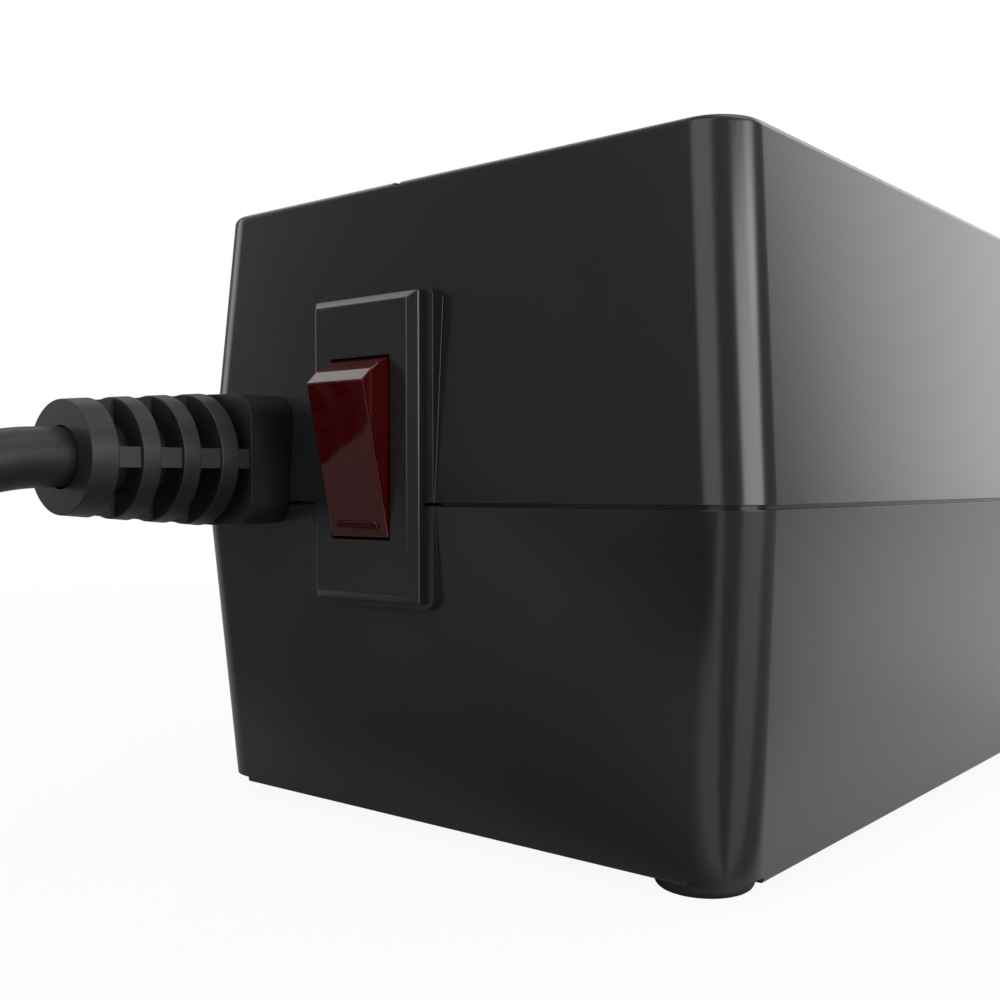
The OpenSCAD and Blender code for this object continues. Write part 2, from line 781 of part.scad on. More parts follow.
module switch_housing() color(trim_black) at_switch() difference() {
    union() {
        hull() {
            translate([-pad_out - bezel_side, 0, 0]) along_x(bezel_side) square([bezel_w, bezel_h], center = true);
            translate([-bezel_out, 0, 0]) along_x(bezel_side)
                square([bezel_w - 2*bezel_bevel, bezel_h - 2*bezel_bevel], center = true);
        }
        translate([-pad_out - bezel_side/2, 0, 0]) along_x(housing_depth + pad_out + bezel_side/2)
            square([housing_w, housing_h], center = true);
    }
    intersection() {
        translate([pivot_in, 0, 0]) rod_y(opening_r, opening_w);
        translate([-bezel_out - cut, 0, 0]) along_x(bezel_out + cut + rocker_floor)
            square([2*opening_w, 2*opening_h], center = true);
    }
    translate([rocker_floor - cut, 0, 0]) along_x(chamber_end - rocker_floor + cut)
        square([housing_w - 2*chamber_wall, 2*lever_half + 4*terminal_t], center = true);
    translate([pivot_in, 0, 0]) rod_y(trunnion_r + thread_gap, housing_w + 2*cut);
    for (s = [-1, 0, 1]) translate([chamber_end - cut, 0, s*terminal_up]) along_x(housing_floor + 2*cut)
        square([terminal_w + 2*thread_gap, terminal_t + 2*thread_gap], center = true);
}

// The rocker is drawn level about its pivot, outwards along -x, and then tilted
bevel_p = rocker_r*cos(bevel_angle);
bevel_q = rocker_r*sin(bevel_angle);
module tilted() at_switch() translate([pivot_in, 0, 0]) rotate([0, -rocker_tilt, 0]) children();
module stadium(len, h) {
    square([len - h, h], center = true);
    for (s = [-1, 1]) translate([s*(len - h)/2, 0]) circle(r = h/2);
}
module rocker() color(rocker_red) tilted() difference() {
    union() {
        across_y(rocker_w) intersection() {
            circle(r = rocker_r, $fn = 96);
            polygon([
                [-rocker_face, -rocker_half], [-rocker_face, rocker_half],
                [-bevel_p, bevel_q], [-bevel_p, rocker_r], [-rocker_skirt, rocker_r],
                [-rocker_skirt, -rocker_r], [-bevel_p, -rocker_r], [-bevel_p, -bevel_q]
            ]);
        }
        rod_y(hub_r, rocker_w);
        rod_y(trunnion_r, rocker_w + 2*trunnion_len);
        rotate([0, 90, 0]) cylinder(r = stem_r, h = stem_end);
        translate([-rocker_face - mark_out, 0, -mark_q]) along_x(mark_out + rocker_wall/2) difference() {
            stadium(mark_len, mark_h);
            stadium(mark_len - 2*mark_line, mark_h - 2*mark_line);
        }
    }
    for (s = [-1, 1]) across_y(rocker_w - 2*rocker_wall) intersection() {
        circle(r = rocker_r - rocker_wall, $fn = 96);
        translate([-rocker_face + rocker_wall, s > 0 ? hub_r : -rocker_r])
            square([rocker_face - rocker_wall - rocker_skirt + cut, rocker_r - hub_r]);
    }
    translate([-spring_back, 0, 0]) rotate([0, 90, 0])
        cylinder(r = stem_bore_r, h = spring_back + stem_end + cut);
}
module rocker_lamp() color("orange") tilted()
    translate([-rocker_face + rocker_wall + lamp_r + thread_gap, 0, lamp_q - lamp_len/2]) {
        cylinder(r = lamp_r, h = lamp_len - lamp_r);
        translate([0, 0, lamp_len - lamp_r]) sphere(r = lamp_r);
    }
module switch_plunger() color(brass) tilted() translate([plunger_back, 0, 0]) {
    rotate([0, 90, 0]) cylinder(r = plunger_r, h = plunger_end - plunger_back - plunger_r);
    translate([plunger_end - plunger_back - plunger_r, 0, 0]) sphere(r = plunger_r);
}
module plunger_spring() color(steel) tilted()
    tube([for (k = [0 : 8*spring_turns]) let (u = k/(8*spring_turns), r = plunger_r - spring_wire/2) [
        plunger_back - thread_gap - spring_wire/2 - u*(spring_len - spring_wire - thread_gap),
        r*cos(45*k), r*sin(45*k)
    ]], spring_wire/2, 6);

module contact_lever() color(copper) at_switch() translate([lever_pin_x, 0, 0]) rotate([0, lever_tilt, 0]) {
    translate([lever_x - lever_pin_x, 0, 0]) along_x(lever_t) square([lever_w, 2*lever_half], center = true);
    rod_y(lever_pin_r, 2*lever_pin_half);
    translate([lever_x - lever_pin_x + lever_t - slice_h, 0, contact_q]) rotate([0, 90, 0])
        cylinder(r = contact_r, h = contact_h);
}
module terminal_tab(x, up) translate([x, 0, up]) along_x(housing_depth + terminal_len - x)
    square([terminal_w, terminal_t], center = true);
module switch_terminals() color(brass) at_switch() {
    translate([contact_x, 0, contact_q]) rotate([0, 90, 0]) cylinder(r = contact_r, h = contact_h + slice_h);
    for (s = [-1, 1]) {
        translate([plate_x, 0, s*terminal_up]) along_x(terminal_t)
            square([lever_w, 2*contact_r + terminal_t], center = true);
        terminal_tab(plate_x, s*terminal_up);
    }
    terminal_tab(yoke_x, 0);
    translate([yoke_x, 0, 0]) along_x(terminal_t)
        square([lever_w + 2*(ear_gap + ear_t), 2*ear_half], center = true);
    difference() {
        for (s = [-1, 1]) translate([lever_pin_x - ear_half, s*(lever_w/2 + ear_gap + ear_t/2), 0])
            along_x(yoke_x + terminal_t - lever_pin_x + ear_half) square([ear_t, 2*ear_half], center = true);
        translate([lever_pin_x, 0, 0]) rod_y(lever_pin_r + lever_pin_gap, 2*lever_w);
    }
}

// Strain relief, moulded on the cord. Its neck sits in the slot of both shells.
relief_cuts = relief_len*relief_cut_shares;
relief_back_x = wall + end_lean*(relief_up + relief_block_h/2)/upper_h + fit_gap;
function relief_radius(d) = relief_r + relief_grow*d;
module relief_ring(a, b) rotate_extrude() polygon([
    [0, a], [relief_radius(a) - relief_edge, a], [relief_radius(a), a + relief_edge],
    [relief_radius(b), b - relief_edge], [relief_radius(b) - relief_edge, b], [0, b]
]);
module strain_relief() color(rubber_black) at_relief() difference() {
    union() {
        translate([-relief_len, 0, 0]) rotate([0, 90, 0]) {
            relief_ring(0, relief_cuts[0]);
            for (k = [1, 3, 5]) relief_ring(relief_cuts[k], relief_cuts[k + 1]);
            cylinder(r = relief_core_r, h = relief_len);
        }
        for (spine = [[0, relief_spine_in, relief_block_w], [90, relief_top_spine_in, relief_block_h]])
            translate([-relief_len, 0, 0]) rotate([spine[0], 0, 0]) linear_extrude(relief_spine_h, center = true) polygon([
                for (s = [-1, 1], d = s < 0 ? [relief_cuts[0]/2, relief_cuts[7] + cut] : [relief_cuts[7] + cut, relief_cuts[0]/2])
                    [d, s*min(relief_radius(d) - spine[1], spine[2]/2 - relief_block_over)]
            ]);
        difference() {
            translate([relief_cuts[7] - relief_len, 0, 0]) along_x(relief_len - relief_cuts[7] + end_lean)
                rounded(relief_block_w, relief_block_h, relief_block_round);
            translate([0, 0, -relief_up]) across_y(2*relief_block_w) polygon([
                [-fit_gap, 0], [end_lean - fit_gap, upper_h], [2*end_lean, upper_h],
                [2*end_lean, -lower_h], [end_lean - fit_gap, -lower_h]
            ]);
        }
        translate([-cut, 0, 0]) along_x(relief_back_x + 2*cut) square(relief_neck, center = true);
        translate([relief_back_x, 0, 0]) along_x(relief_flange_t)
            rounded(relief_flange_w, relief_flange_w, relief_block_round);
        translate([relief_back_x, 0, 0]) rotate([0, 90, 0])
            cylinder(r = cord_d/2, h = relief_flange_t + jacket_stub);
    }
    translate([-relief_len - cut, 0, 0]) rotate([0, 90, 0])
        cylinder(r = cord_d/2 + relief_hole_gap, h = cut + relief_hole_depth);
}

// The cord: two free stretches, and a coil in two layers that winds in and out
coil_turns = coil_in_turns + coil_out_turns;
coil_z = coil_lift + cord_d/2;
function coil_radius(t) = coil_r - coil_pitch*(t < coil_in_turns ? t : 2*coil_in_turns - t);
function climb(u) = u <= 0 ? 0 : u >= 1 ? 1 : u*u*(3 - 2*u);
function coil_point(t) = [
    coil_middle.x + coil_radius(t)*cos(90 + 360*t),
    coil_middle.y + coil_radius(t)*sin(90 + 360*t),
    coil_z + coil_layer*climb(2*(t - coil_in_turns) + 1/2)
];
coil_points = [for (k = [0 : coil_turns*coil_steps]) coil_point(k/coil_steps)];
module cord_lead() color(rubber_black) tube(lead_points, cord_d/2, cord_sides);
module cord_coil() color(rubber_black) tube(coil_points, cord_d/2, coil_sides);
module cord_tail() color(rubber_black) tube(tail_points, cord_d/2, cord_sides);
coil_gap = min([for (i = [0 : len(coil_points) - 1])
    for (j = [i + coil_steps/2 : len(coil_points) - 1]) norm(coil_points[i] - coil_points[j])]) - cord_d;

// The tie goes once round the bundle of turns
tie_turn = (tie_angle - 90)/360;
tie_inner = coil_radius(floor(coil_in_turns) + tie_turn) - cord_d/2 - tie_air;
tie_outer = coil_radius(tie_turn) + cord_d/2 + tie_air;
tie_low = coil_lift - tie_floor_air;
tie_high = coil_lift + cord_d + coil_layer + tie_air;
module coil_tie() color("dimgray") translate([coil_middle.x, coil_middle.y, (tie_low + tie_high)/2])
    rotate([0, 0, tie_angle]) translate([(tie_inner + tie_outer)/2, 0, 0]) across_y(tie_w) difference() {
        rounded(tie_outer - tie_inner + 2*tie_t, tie_high - tie_low + 2*tie_t, tie_round + tie_t);
        rounded(tie_outer - tie_inner, tie_high - tie_low, tie_round);
    }

// Plug: its grip starts where the cord ends and runs along +Y
plug_start = tail_points[len(tail_points) - 1];
plug_front = plug_relief_len + grip_len;
module at_plug() translate(plug_start) rotate([-90, 0, 0]) children();
plug_step = plug_relief_len/plug_ring_count;
plug_edges = [[0, 0], [plug_ring_share, 0], [plug_ring_share, plug_groove], [1, plug_groove]];
function plug_ring_radius(k) = plug_relief_end_r + (plug_relief_r - plug_relief_end_r)*k/plug_ring_count;
module plug_slice(d, w, h, r) translate([0, 0, d]) linear_extrude(slice_h) rounded(w, h, r);
module plug_body() color(rubber_black) at_plug() translate([0, 0, -plug_hole_depth]) difference() {
    union() {
        rotate_extrude() polygon(concat(
            [[0, 0]],
            [for (k = [0 : plug_ring_count - 1], e = plug_edges) [plug_ring_radius(k + e.x) - e.y, (k + e.x)*plug_step]],
            [[plug_relief_end_r, plug_relief_len + cut], [0, plug_relief_len + cut]]
        ));
        hull() {
            plug_slice(plug_relief_len, plug_neck_share*grip_w, plug_neck_share*grip_h, plug_round);
            plug_slice(plug_relief_len + grip_len/3, grip_w, grip_h, plug_round);
            plug_slice(plug_front - slice_h, grip_w, grip_h, plug_round);
        }
    }
    translate([0, 0, -cut]) cylinder(r = cord_d/2 + relief_hole_gap, h = cut + plug_hole_depth);
    for (s = [-1, 1]) translate([s*blade_gap/2, -blade_line, plug_front - blade_root])
        block([blade_t, blade_w, blade_root + cut]);
    translate([0, -blade_line - ground_gap, plug_front - blade_root])
        cylinder(r = ground_pin_r, h = blade_root + cut);
}
module plug_blades() color(brass) at_plug()
    for (s = [-1, 1]) translate([s*blade_gap/2, -blade_line, plug_front - plug_hole_depth - blade_root])
        block([blade_t, blade_w, blade_root + blade_len]);
module plug_ground_pin() color(brass) at_plug()
    translate([0, -blade_line - ground_gap, plug_front - plug_hole_depth - blade_root]) {
        cylinder(r = ground_pin_r, h = blade_root + ground_pin_len - ground_pin_r);
        translate([0, 0, blade_root + ground_pin_len - ground_pin_r])
            cylinder(r1 = ground_pin_r, r2 = ground_pin_r/2, h = ground_pin_r);
    }

// Feet and screws
module rubber_feet() color(rubber_black) from_panel() for (p = foot_places) translate(p)
    rotate_extrude() polygon(concat(
        [[0, 0]],
        [for (a = [0 : round_step/2 : 90]) [foot_r - foot_round*(1 - sin(a)), foot_round*(1 - cos(a))]],
        [[foot_r, floor_z], [foot_stem_r, floor_z], [foot_stem_r, floor_z + foot_stem_h], [0, floor_z + foot_stem_h]]
    ));
module case_screws() color(steel) from_panel()
    for (p = concat(under_foot_screws, [relief_screw])) translate([p.x, p.y, part_z - screw_land]) difference() {
        union() {
            cylinder(r = case_screw_r, h = case_screw_len);
            translate([0, 0, -case_head_h]) cylinder(r = case_head_r, h = case_head_h);
        }
        translate([0, 0, -case_head_h - cut]) cross_recess(case_head_r, cut + case_head_h/2);
    }
module cross_recess(r, h) for (a = [0, 90]) rotate([0, 0, a]) block([1.2*r, r/4, h]);
// A small screw with its head on the level z = 0 and its shank below
module small_screw() difference() {
    union() {
        cylinder(r = small_head_r, h = small_head_h);
        translate([0, 0, -small_screw_len]) cylinder(r = small_screw_r, h = small_screw_len + small_head_h/2);
    }
    translate([0, 0, small_head_h/2]) cross_recess(small_head_r, cut + small_head_h/2);
}
module small_screws() color(steel) {
    each_row() each_tray_boss() translate([0, 0, tray_z]) rotate([180, 0, 0]) small_screw();
    each_indicator_boss() translate([0, 0, indicator_z]) rotate([180, 0, 0]) small_screw();
    from_panel() board_post_places() translate([0, 0, board_top]) small_screw();
}

// Transformer: a stack of laminations on the ribs, its windows open along x
window_z = core_z + yoke;
bobbin_in = fit_gap + bobbin_t;
module at_core(z = 0) translate([panel_x + transformer_x, 0, z]) children();
module transformer_core() color("slategray") at_core(core_z) translate([-stack_t/2, 0, 0]) along_x(stack_t)
    difference() {
        translate([-lamination_w/2, 0]) square([lamination_w, lamination_h]);
        for (s = [-1, 1]) translate([s*(leg + yoke)/2 - yoke/2, yoke]) square([yoke, window_h]);
    }
module leg_ring(out, in) difference() {
    rounded(stack_t + 2*out, leg + 2*out, out - in + slice_h);
    square([stack_t + 2*in, leg + 2*in], center = true);
}
module bobbin() color("ivory") at_core(window_z) {
    linear_extrude(window_h) leg_ring(bobbin_in, fit_gap);
    for (z = [0, window_h - bobbin_t]) translate([0, 0, z]) linear_extrude(bobbin_t)
        leg_ring(yoke - fit_gap, fit_gap);
}
module winding() color(copper) at_core(window_z + bobbin_t) linear_extrude(window_h - 2*bobbin_t)
    leg_ring(bobbin_in + winding_t, bobbin_in);
module winding_tape() color("goldenrod") at_core(window_z + bobbin_t) linear_extrude(window_h - 2*bobbin_t)
    difference() {
        rounded(
            stack_t + 2*(bobbin_in + winding_t + tape_t),
            leg + 2*(bobbin_in + winding_t + tape_t),
            winding_t + tape_t + slice_h
        );
        rounded(stack_t + 2*(bobbin_in + winding_t), leg + 2*(bobbin_in + winding_t), winding_t + slice_h);
    }
module core_bracket() color(steel) at_core(core_z) difference() {
    translate([-bracket_w/2, 0, 0]) along_x(bracket_w) difference() {
        union() {
            translate([-lamination_w/2 - bracket_t, 0])
                square([lamination_w + 2*bracket_t, lamination_h + bracket_t]);
            translate([-lamination_w/2 - bracket_t - bracket_foot, 0])
                square([lamination_w + 2*bracket_t + 2*bracket_foot, bracket_t]);
        }
        translate([-lamination_w/2, -cut]) square([lamination_w, lamination_h + cut]);
    }
    for (s = [-1, 1]) translate([0, s*bracket_screw_y, -cut])
        cylinder(r = bracket_screw_r + fit_gap, h = bracket_t + 2*cut);
}
module bracket_screws() color(steel) from_panel() bracket_places()
    translate([0, 0, core_z + bracket_t]) difference() {
        union() {
            cylinder(r = bracket_head_r, h = bracket_head_h);
            translate([0, 0, -bracket_screw_len])
                cylinder(r = bracket_screw_r, h = bracket_screw_len + bracket_head_h/2);
        }
        translate([0, 0, bracket_head_h/2]) cross_recess(bracket_head_r, cut + bracket_head_h/2);
    }

// Control board. Places on it are measured from its near edge and its middle.
module on_board(x, y) translate([panel_x + board_in + x, y, board_top]) children();
module circuit_board() color(board_green) difference() {
    translate([panel_x + board_in, -board_wid/2, board_z]) cube([board_len, board_wid, board_t]);
    from_panel() board_post_places() translate([0, 0, board_z - cut])
        cylinder(r = small_screw_r + fit_gap, h = board_t + 2*cut);
}
module relay(i) color("royalblue") on_board(relay_in, (i - 1)*relay_pitch) {
    linear_extrude(relay_base_h) square([relay_l, relay_w], center = true);
    translate([0, 0, relay_base_h]) linear_extrude(relay_h - relay_base_h)
        rounded(relay_l - relay_step, relay_w - relay_step, relay_round);
}
module can(x, y, r, h) on_board(x, y) {
    cylinder(r = r, h = h/8);
    translate([0, 0, h/8]) cylinder(r = r - can_groove, h = h/16);
    translate([0, 0, 3*h/16]) cylinder(r = r, h = 13*h/16);
}
module capacitors() color("midnightblue") {
    can(can_x, can_y, can_r, can_h);
    can(small_can_x, small_can_y, small_can_r, small_can_h);
}
module filter_capacitor() color("gold") on_board(film_x, film_y) linear_extrude(film_h)
    rounded(film_l, film_w, relay_round);
module control_chip() color(trim_black) on_board(chip_x, chip_y) {
    translate([0, 0, chip_lift]) block([chip_l, chip_w, chip_h]);
    for (s = [-1, 1], k = [0 : chip_pins - 1])
        translate([(k - (chip_pins - 1)/2)*pin_pitch, s*(chip_w + pin_t)/2, 0])
            block([pin_w, pin_t, chip_lift + chip_h/2]);
}
module rectifier() color(trim_black) for (i = [0 : diode_count - 1])
    on_board(diode_x, diode_y + i*diode_pitch) translate([0, 0, diode_r + diode_lift]) {
        rotate([0, 90, 0]) cylinder(r = diode_r, h = diode_l, center = true);
        rotate([0, 90, 0]) cylinder(r = diode_lead_r, h = diode_l + 2*diode_lead, center = true);
        for (s = [-1, 1]) translate([s*(diode_l/2 + diode_lead - diode_lead_r), 0, -diode_r - diode_lift])
            cylinder(r = diode_lead_r, h = diode_r + diode_lift + diode_lead_r);
    }
module varistor() color("darkorange") on_board(varistor_x, varistor_y) {
    translate([0, 0, varistor_r + varistor_lift]) rotate([0, 90, 0])
        cylinder(r = varistor_r, h = varistor_t, center = true);
    for (s = [-1, 1]) translate([0, s*varistor_r/2, 0]) cylinder(r = diode_lead_r, h = varistor_r/2);
}
fuse_z = clip_rise + fuse_r;
module fuse() color("lightgray") on_board(fuse_x, fuse_y) translate([0, 0, fuse_z]) {
    rotate([0, 90, 0]) cylinder(r = fuse_r - fuse_cap_t, h = fuse_l, center = true);
    for (s = [-1, 1]) translate([s*(fuse_l - fuse_cap_l)/2, 0, 0]) rotate([0, 90, 0])
        cylinder(r = fuse_r, h = fuse_cap_l, center = true);
}
module fuse_clips() color(brass) for (s = [-1, 1])
    on_board(fuse_x + s*(fuse_l - fuse_cap_l)/2, fuse_y) difference() {
        union() {
            translate([0, 0, fuse_z]) rotate([0, 90, 0]) cylinder(r = fuse_r + clip_t, h = clip_w, center = true);
            block([clip_w, fuse_r, clip_rise]);
        }
        translate([0, 0, fuse_z]) rotate([0, 90, 0]) cylinder(r = fuse_r, h = clip_w + 2*cut, center = true);
        translate([0, 0, fuse_z + fuse_r/2]) block([clip_w + 2*cut, 2*fuse_r + 2*clip_t + cut, 2*fuse_r]);
    }
function tab_y(i) = (i - (tab_count - 1)/2)*tab_pitch;
module board_tabs() color(brass) for (i = [0 : tab_count - 1]) on_board(tab_in, tab_y(i))
    block([tab_t, tab_w, tab_h]);

// A push-on sleeve over the end of a tab, drawn with the end of the tab at 0
module push_on(w, t) difference() {
    translate([0, 0, -sleeve_cover])
        block([t + 2*sleeve_wall, w + 2*sleeve_wall, sleeve_cover + sleeve_over]);
    translate([0, 0, -sleeve_cover - cut])
        block([t + 2*thread_gap, w + 2*thread_gap, sleeve_cover + cut + thread_gap]);
}
tab_x = board_in + tab_in;
tab_top = board_top + tab_h;
function at_tab(i, up) = [tab_x, tab_y(i), tab_top + up];
switch_end = housing_depth + terminal_len;
switch_z = part_z + switch_up;
function at_terminal(k, out) = [switch_end + out, switch_y, switch_z + k*terminal_up];
module tab_sleeve(i) translate(at_tab(i, 0)) push_on(tab_w, tab_t);
module terminal_sleeve(k) translate(at_terminal(k, 0)) rotate([0, 90, 0]) push_on(terminal_w, terminal_t);
module wire(points, r = wire_r) tube(smooth(points, bend_steps), r, wire_sides);

// Ends of the contact strips and of the cord's jacket, measured from the panel
strip_end = body_len/2 - tray_len/2 - thread_gap;
near_y = groove_y - row_gap/2;
far_y = groove_y + row_gap/2;
live_near = [strip_end, near_y - slot_line + strip_off, receptacle_z];
live_far = [strip_end, far_y + slot_line - strip_off, receptacle_z];
neutral_near = [strip_end, near_y - slot_line - strip_off, receptacle_z];
neutral_far = [strip_end, far_y + slot_line + strip_off, receptacle_z];
earth_near = [strip_end, near_y - slot_line - ground_gap, receptacle_z];
earth_far = [strip_end, far_y + slot_line + ground_gap, receptacle_z];
cord_end = [relief_back_x + relief_flange_t + jacket_stub + thread_gap, relief_y, part_z + relief_up];
low = 1.25;
high = 3.8;
flat_up = 1.2;
flat_side = 1.25;

module live_wires() color("saddlebrown") from_panel() {
    wire([
        cord_end + [0, -1.5, 1.2], cord_end + [8, -2.2, 1.6], cord_end + [22, -9.6, 2],
        at_terminal(0, 14) + [0, 8, 0.3], at_terminal(0, 10) + [0, 1, 0], at_terminal(0, 2)
    ]);
    terminal_sleeve(0);
    terminal_sleeve(1);
    wire([
        at_terminal(1, 2), at_terminal(1, 11) + [0, 0.8, -0.6], at_terminal(1, 28) + [0, 5.5, -10],
        [tab_x - 10, tab_y(6) - 1, tab_top + 20], at_tab(6, 9), at_tab(6, 2)
    ]);
    tab_sleeve(6);
    tab_sleeve(5);
    wire([
        at_tab(5, 2), at_tab(5, 12), [tab_x - 13, tab_y(5) - 5, tab_top + 28],
        [tab_x/2, live_near.y + 1.3, tab_top + 38], [strip_end + 5, live_near.y, tray_z - 6.4],
        [strip_end - 5.6, live_near.y, tray_z - 4.4], [strip_end - 7, live_near.y, tray_z + 1],
        live_near + [-4, 0, low], live_near + [0, 0, low]
    ]);
    wire([
        live_near + [0, 0, high], live_near + [-4.6, 0, high], live_near + [-7, 4.5, high + 0.8],
        live_far + [-7, -6.5, high + 0.8], live_far + [-4.6, 0, high], live_far + [0, 0, high]
    ]);
}
module neutral_wires() color("steelblue") from_panel() {
    wire([
        cord_end + [wire_start_in, 1.5, 1.2], cord_end + [wire_start_in + wire_r, 1.5, 1.2], cord_end + [3.6, 1.5, 3.6], [strip_end - 4.5, relief_y - 0.6, tray_z - 8.4],
        [strip_end - 7, neutral_far.y + 3.4, tray_z - 1.4], neutral_far + [-5, 0, low], neutral_far + [0, 0, low]
    ]);
    wire([
        neutral_far + [0, 0, high], neutral_far + [-5.6, -0.6, high], neutral_far + [-9.8, -5.6, high + 1.6],
        neutral_near + [-9.8, 6, high + 1.6], neutral_near + [-5.6, 0, high], neutral_near + [0, 0, high]
    ]);
    wire([
        neutral_near + [0, 0, low], neutral_near + [-5, 0, low], [strip_end - 7, neutral_near.y, tray_z - 2.4],
        [strip_end - 3.6, neutral_near.y + 0.5, tray_z - 12.4], [tab_x/2 - 7, neutral_near.y + 1.5, tab_top + 24],
        [tab_x - 24, tab_y(4) - 13, tab_top + 16], [tab_x - 4, tab_y(4) - 2, tab_top + 14], at_tab(4, 9), at_tab(4, 2)
    ]);
    tab_sleeve(4);
    terminal_sleeve(-1);
    wire([
        at_terminal(-1, 2), at_terminal(-1, 9) + [0, -0.8, -1], at_terminal(-1, 25) + [0, -2.8, -9.6],
        [lamp_wire_x, lamp_wire_y + 1, board_top + 15], [lamp_wire_x, lamp_wire_y, board_top + 7],
        [lamp_wire_x, lamp_wire_y, board_top + thread_gap]
    ]);
}
module earth_wires() color("olivedrab") from_panel() {
    wire([
        cord_end + [wire_start_in, 0, -1.6], cord_end + [wire_start_in + wire_r, 0, -1.6], cord_end + [4.8, 2.4, -1], cord_end + [6.2, 4.9, 4.6],
        [strip_end - 2.6, relief_y + 4.4, tray_z - 6.4], [strip_end - 6, relief_y + 0.4, tray_z - 0.4],
        earth_far + [-4.6, flat_side, flat_up], earth_far + [0, flat_side, flat_up]
    ]);
    wire([
        earth_far + [0, -flat_side, flat_up], earth_far + [-4, -flat_side, flat_up + 0.5],
        earth_far + [-7, -4, 7.6], earth_far + [-7, -15, 10.1], earth_near + [-7, 11, 10.1],
        earth_near + [-7, 2, 7.6], earth_near + [-4, flat_side, flat_up + 0.5], earth_near + [0, flat_side, flat_up]
    ]);
    wire([
        earth_near + [0, -flat_side, flat_up], earth_near + [-4.6, -flat_side, flat_up],
        earth_near + [-6.6, -3, -4.4], earth_near + [-2.6, -7, -12.4],
        [tab_x/2 - 4, -34, tab_top + 28], [tab_x - 10, -36.5, tab_top + 18],
        [transformer_x - 24, -bracket_screw_y, core_z + 16], [transformer_x - 17, -bracket_screw_y, core_z + 6],
        [transformer_x - 11, -bracket_screw_y, core_z + bracket_t + wire_r + air],
        [transformer_x - 5, -bracket_screw_y, core_z + bracket_t + wire_r + thread_gap]
    ]);
}
lead_z = window_z + window_h + wire_r + thread_gap;
lead_x = transformer_x - stack_t/2 - yoke;
module winding_leads() color("firebrick") from_panel() for (i = [0 : 3]) {
    y = (i - 2)*6 - 3;
    wire([
        [lead_x + 7, y, lead_z], [lead_x - 1, y, lead_z + 0.1], [lead_x - 5, (y + tab_y(i))/2, lead_z - 6],
        [tab_x + 1.4, tab_y(i), tab_top + 16], at_tab(i, 9), at_tab(i, 2)
    ]);
    tab_sleeve(i);
}
module indicator_cable() color("gray") from_panel() wire([
    [cable_x, lens_y - 2.4, indicator_z - thread_gap], [cable_x, lens_y - 2.7, indicator_z - 8],
    [cable_x, lens_y - 2.7, part_z + 4], [cable_x, lens_y - 2.4, part_z - 12],
    [cable_x, lens_y + 4, board_top + 8], [cable_x, cable_y, board_top + 4],
    [cable_x, cable_y, board_top + thread_gap]
]);

upper_shell();
lower_shell();
receptacle(false, 3);  // receptacle_1
receptacle(false, 2);  // receptacle_2
receptacle(false, 1);  // receptacle_3
receptacle(false, 0);  // receptacle_4
receptacle(true, 0);  // receptacle_5
receptacle(true, 1);  // receptacle_6
receptacle(true, 2);  // receptacle_7
receptacle(true, 3);  // receptacle_8
contact_tray(false);  // contact_tray_near
contact_tray(true);  // contact_tray_far
live_bus();
neutral_bus();
earth_bus();
indicator_lenses();
indicator_leds();
indicator_board();
indicator_cable();
switch_housing();
rocker();
rocker_lamp();
switch_plunger();
plunger_spring();
contact_lever();
switch_terminals();
strain_relief();
cord_lead();
cord_coil();
cord_tail();
coil_tie();
plug_body();
plug_blades();
plug_ground_pin();
rubber_feet();
case_screws();
small_screws();
transformer_core();
bobbin();
winding();
winding_tape();
core_bracket();
bracket_screws();
winding_leads();
circuit_board();
relay(0);  // relay_1
relay(1);  // relay_2
relay(2);  // relay_3
capacitors();
filter_capacitor();
control_chip();
rectifier();
varistor();
fuse();
fuse_clips();
board_tabs();
live_wires();
neutral_wires();
earth_wires();
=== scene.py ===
import math
import bmesh
import bpy
from mathutils import Matrix, Vector


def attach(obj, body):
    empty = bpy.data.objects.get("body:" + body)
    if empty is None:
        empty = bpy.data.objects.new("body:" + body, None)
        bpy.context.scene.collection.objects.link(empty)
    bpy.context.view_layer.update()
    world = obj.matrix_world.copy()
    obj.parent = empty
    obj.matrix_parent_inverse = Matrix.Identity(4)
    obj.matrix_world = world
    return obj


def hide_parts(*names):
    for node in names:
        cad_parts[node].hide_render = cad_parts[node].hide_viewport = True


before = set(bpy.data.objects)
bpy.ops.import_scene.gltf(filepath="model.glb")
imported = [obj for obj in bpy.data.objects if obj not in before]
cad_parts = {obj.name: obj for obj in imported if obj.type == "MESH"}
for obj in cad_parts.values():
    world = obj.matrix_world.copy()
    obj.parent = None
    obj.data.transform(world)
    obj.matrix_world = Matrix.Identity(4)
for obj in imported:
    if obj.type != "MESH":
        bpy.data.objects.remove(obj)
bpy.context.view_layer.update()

toMetres = 0.001

# sizes shared by several pieces, in millimetres, as in the CAD source
case = {
    "middleX": 3.652, "panelX": -76.348, "length": 160, "width": 100,
    "parting": 46.9, "topHeight": 45.5, "bottomHeight": 44.5,
    "top": 92.4, "roof": 89.9, "skirt": 2.4, "floor": 3.6, "floorInside": 6.1,
    "endLean": 2.9, "sideLean": 3.4, "corner": 6.4, "wall": 2.5,
    "topRound": 1, "cornerSegments": 20, "lip": 0.12, "line": 0.25,
}
switchMiddle = Vector((-76.348, 8.8, 54.65))
reliefMiddle = Vector((-76.348, 36.6, 53.4))


# the camera looks at the near corner, low and close
cameraLook = {
    "place": (-0.196178, -0.11299, 0.04966), "turn": 39.451, "nod": -0.762, "lean": -0.123,
    "lens": 43.536, "sensor": 36, "near": 0.01, "far": 50,
}


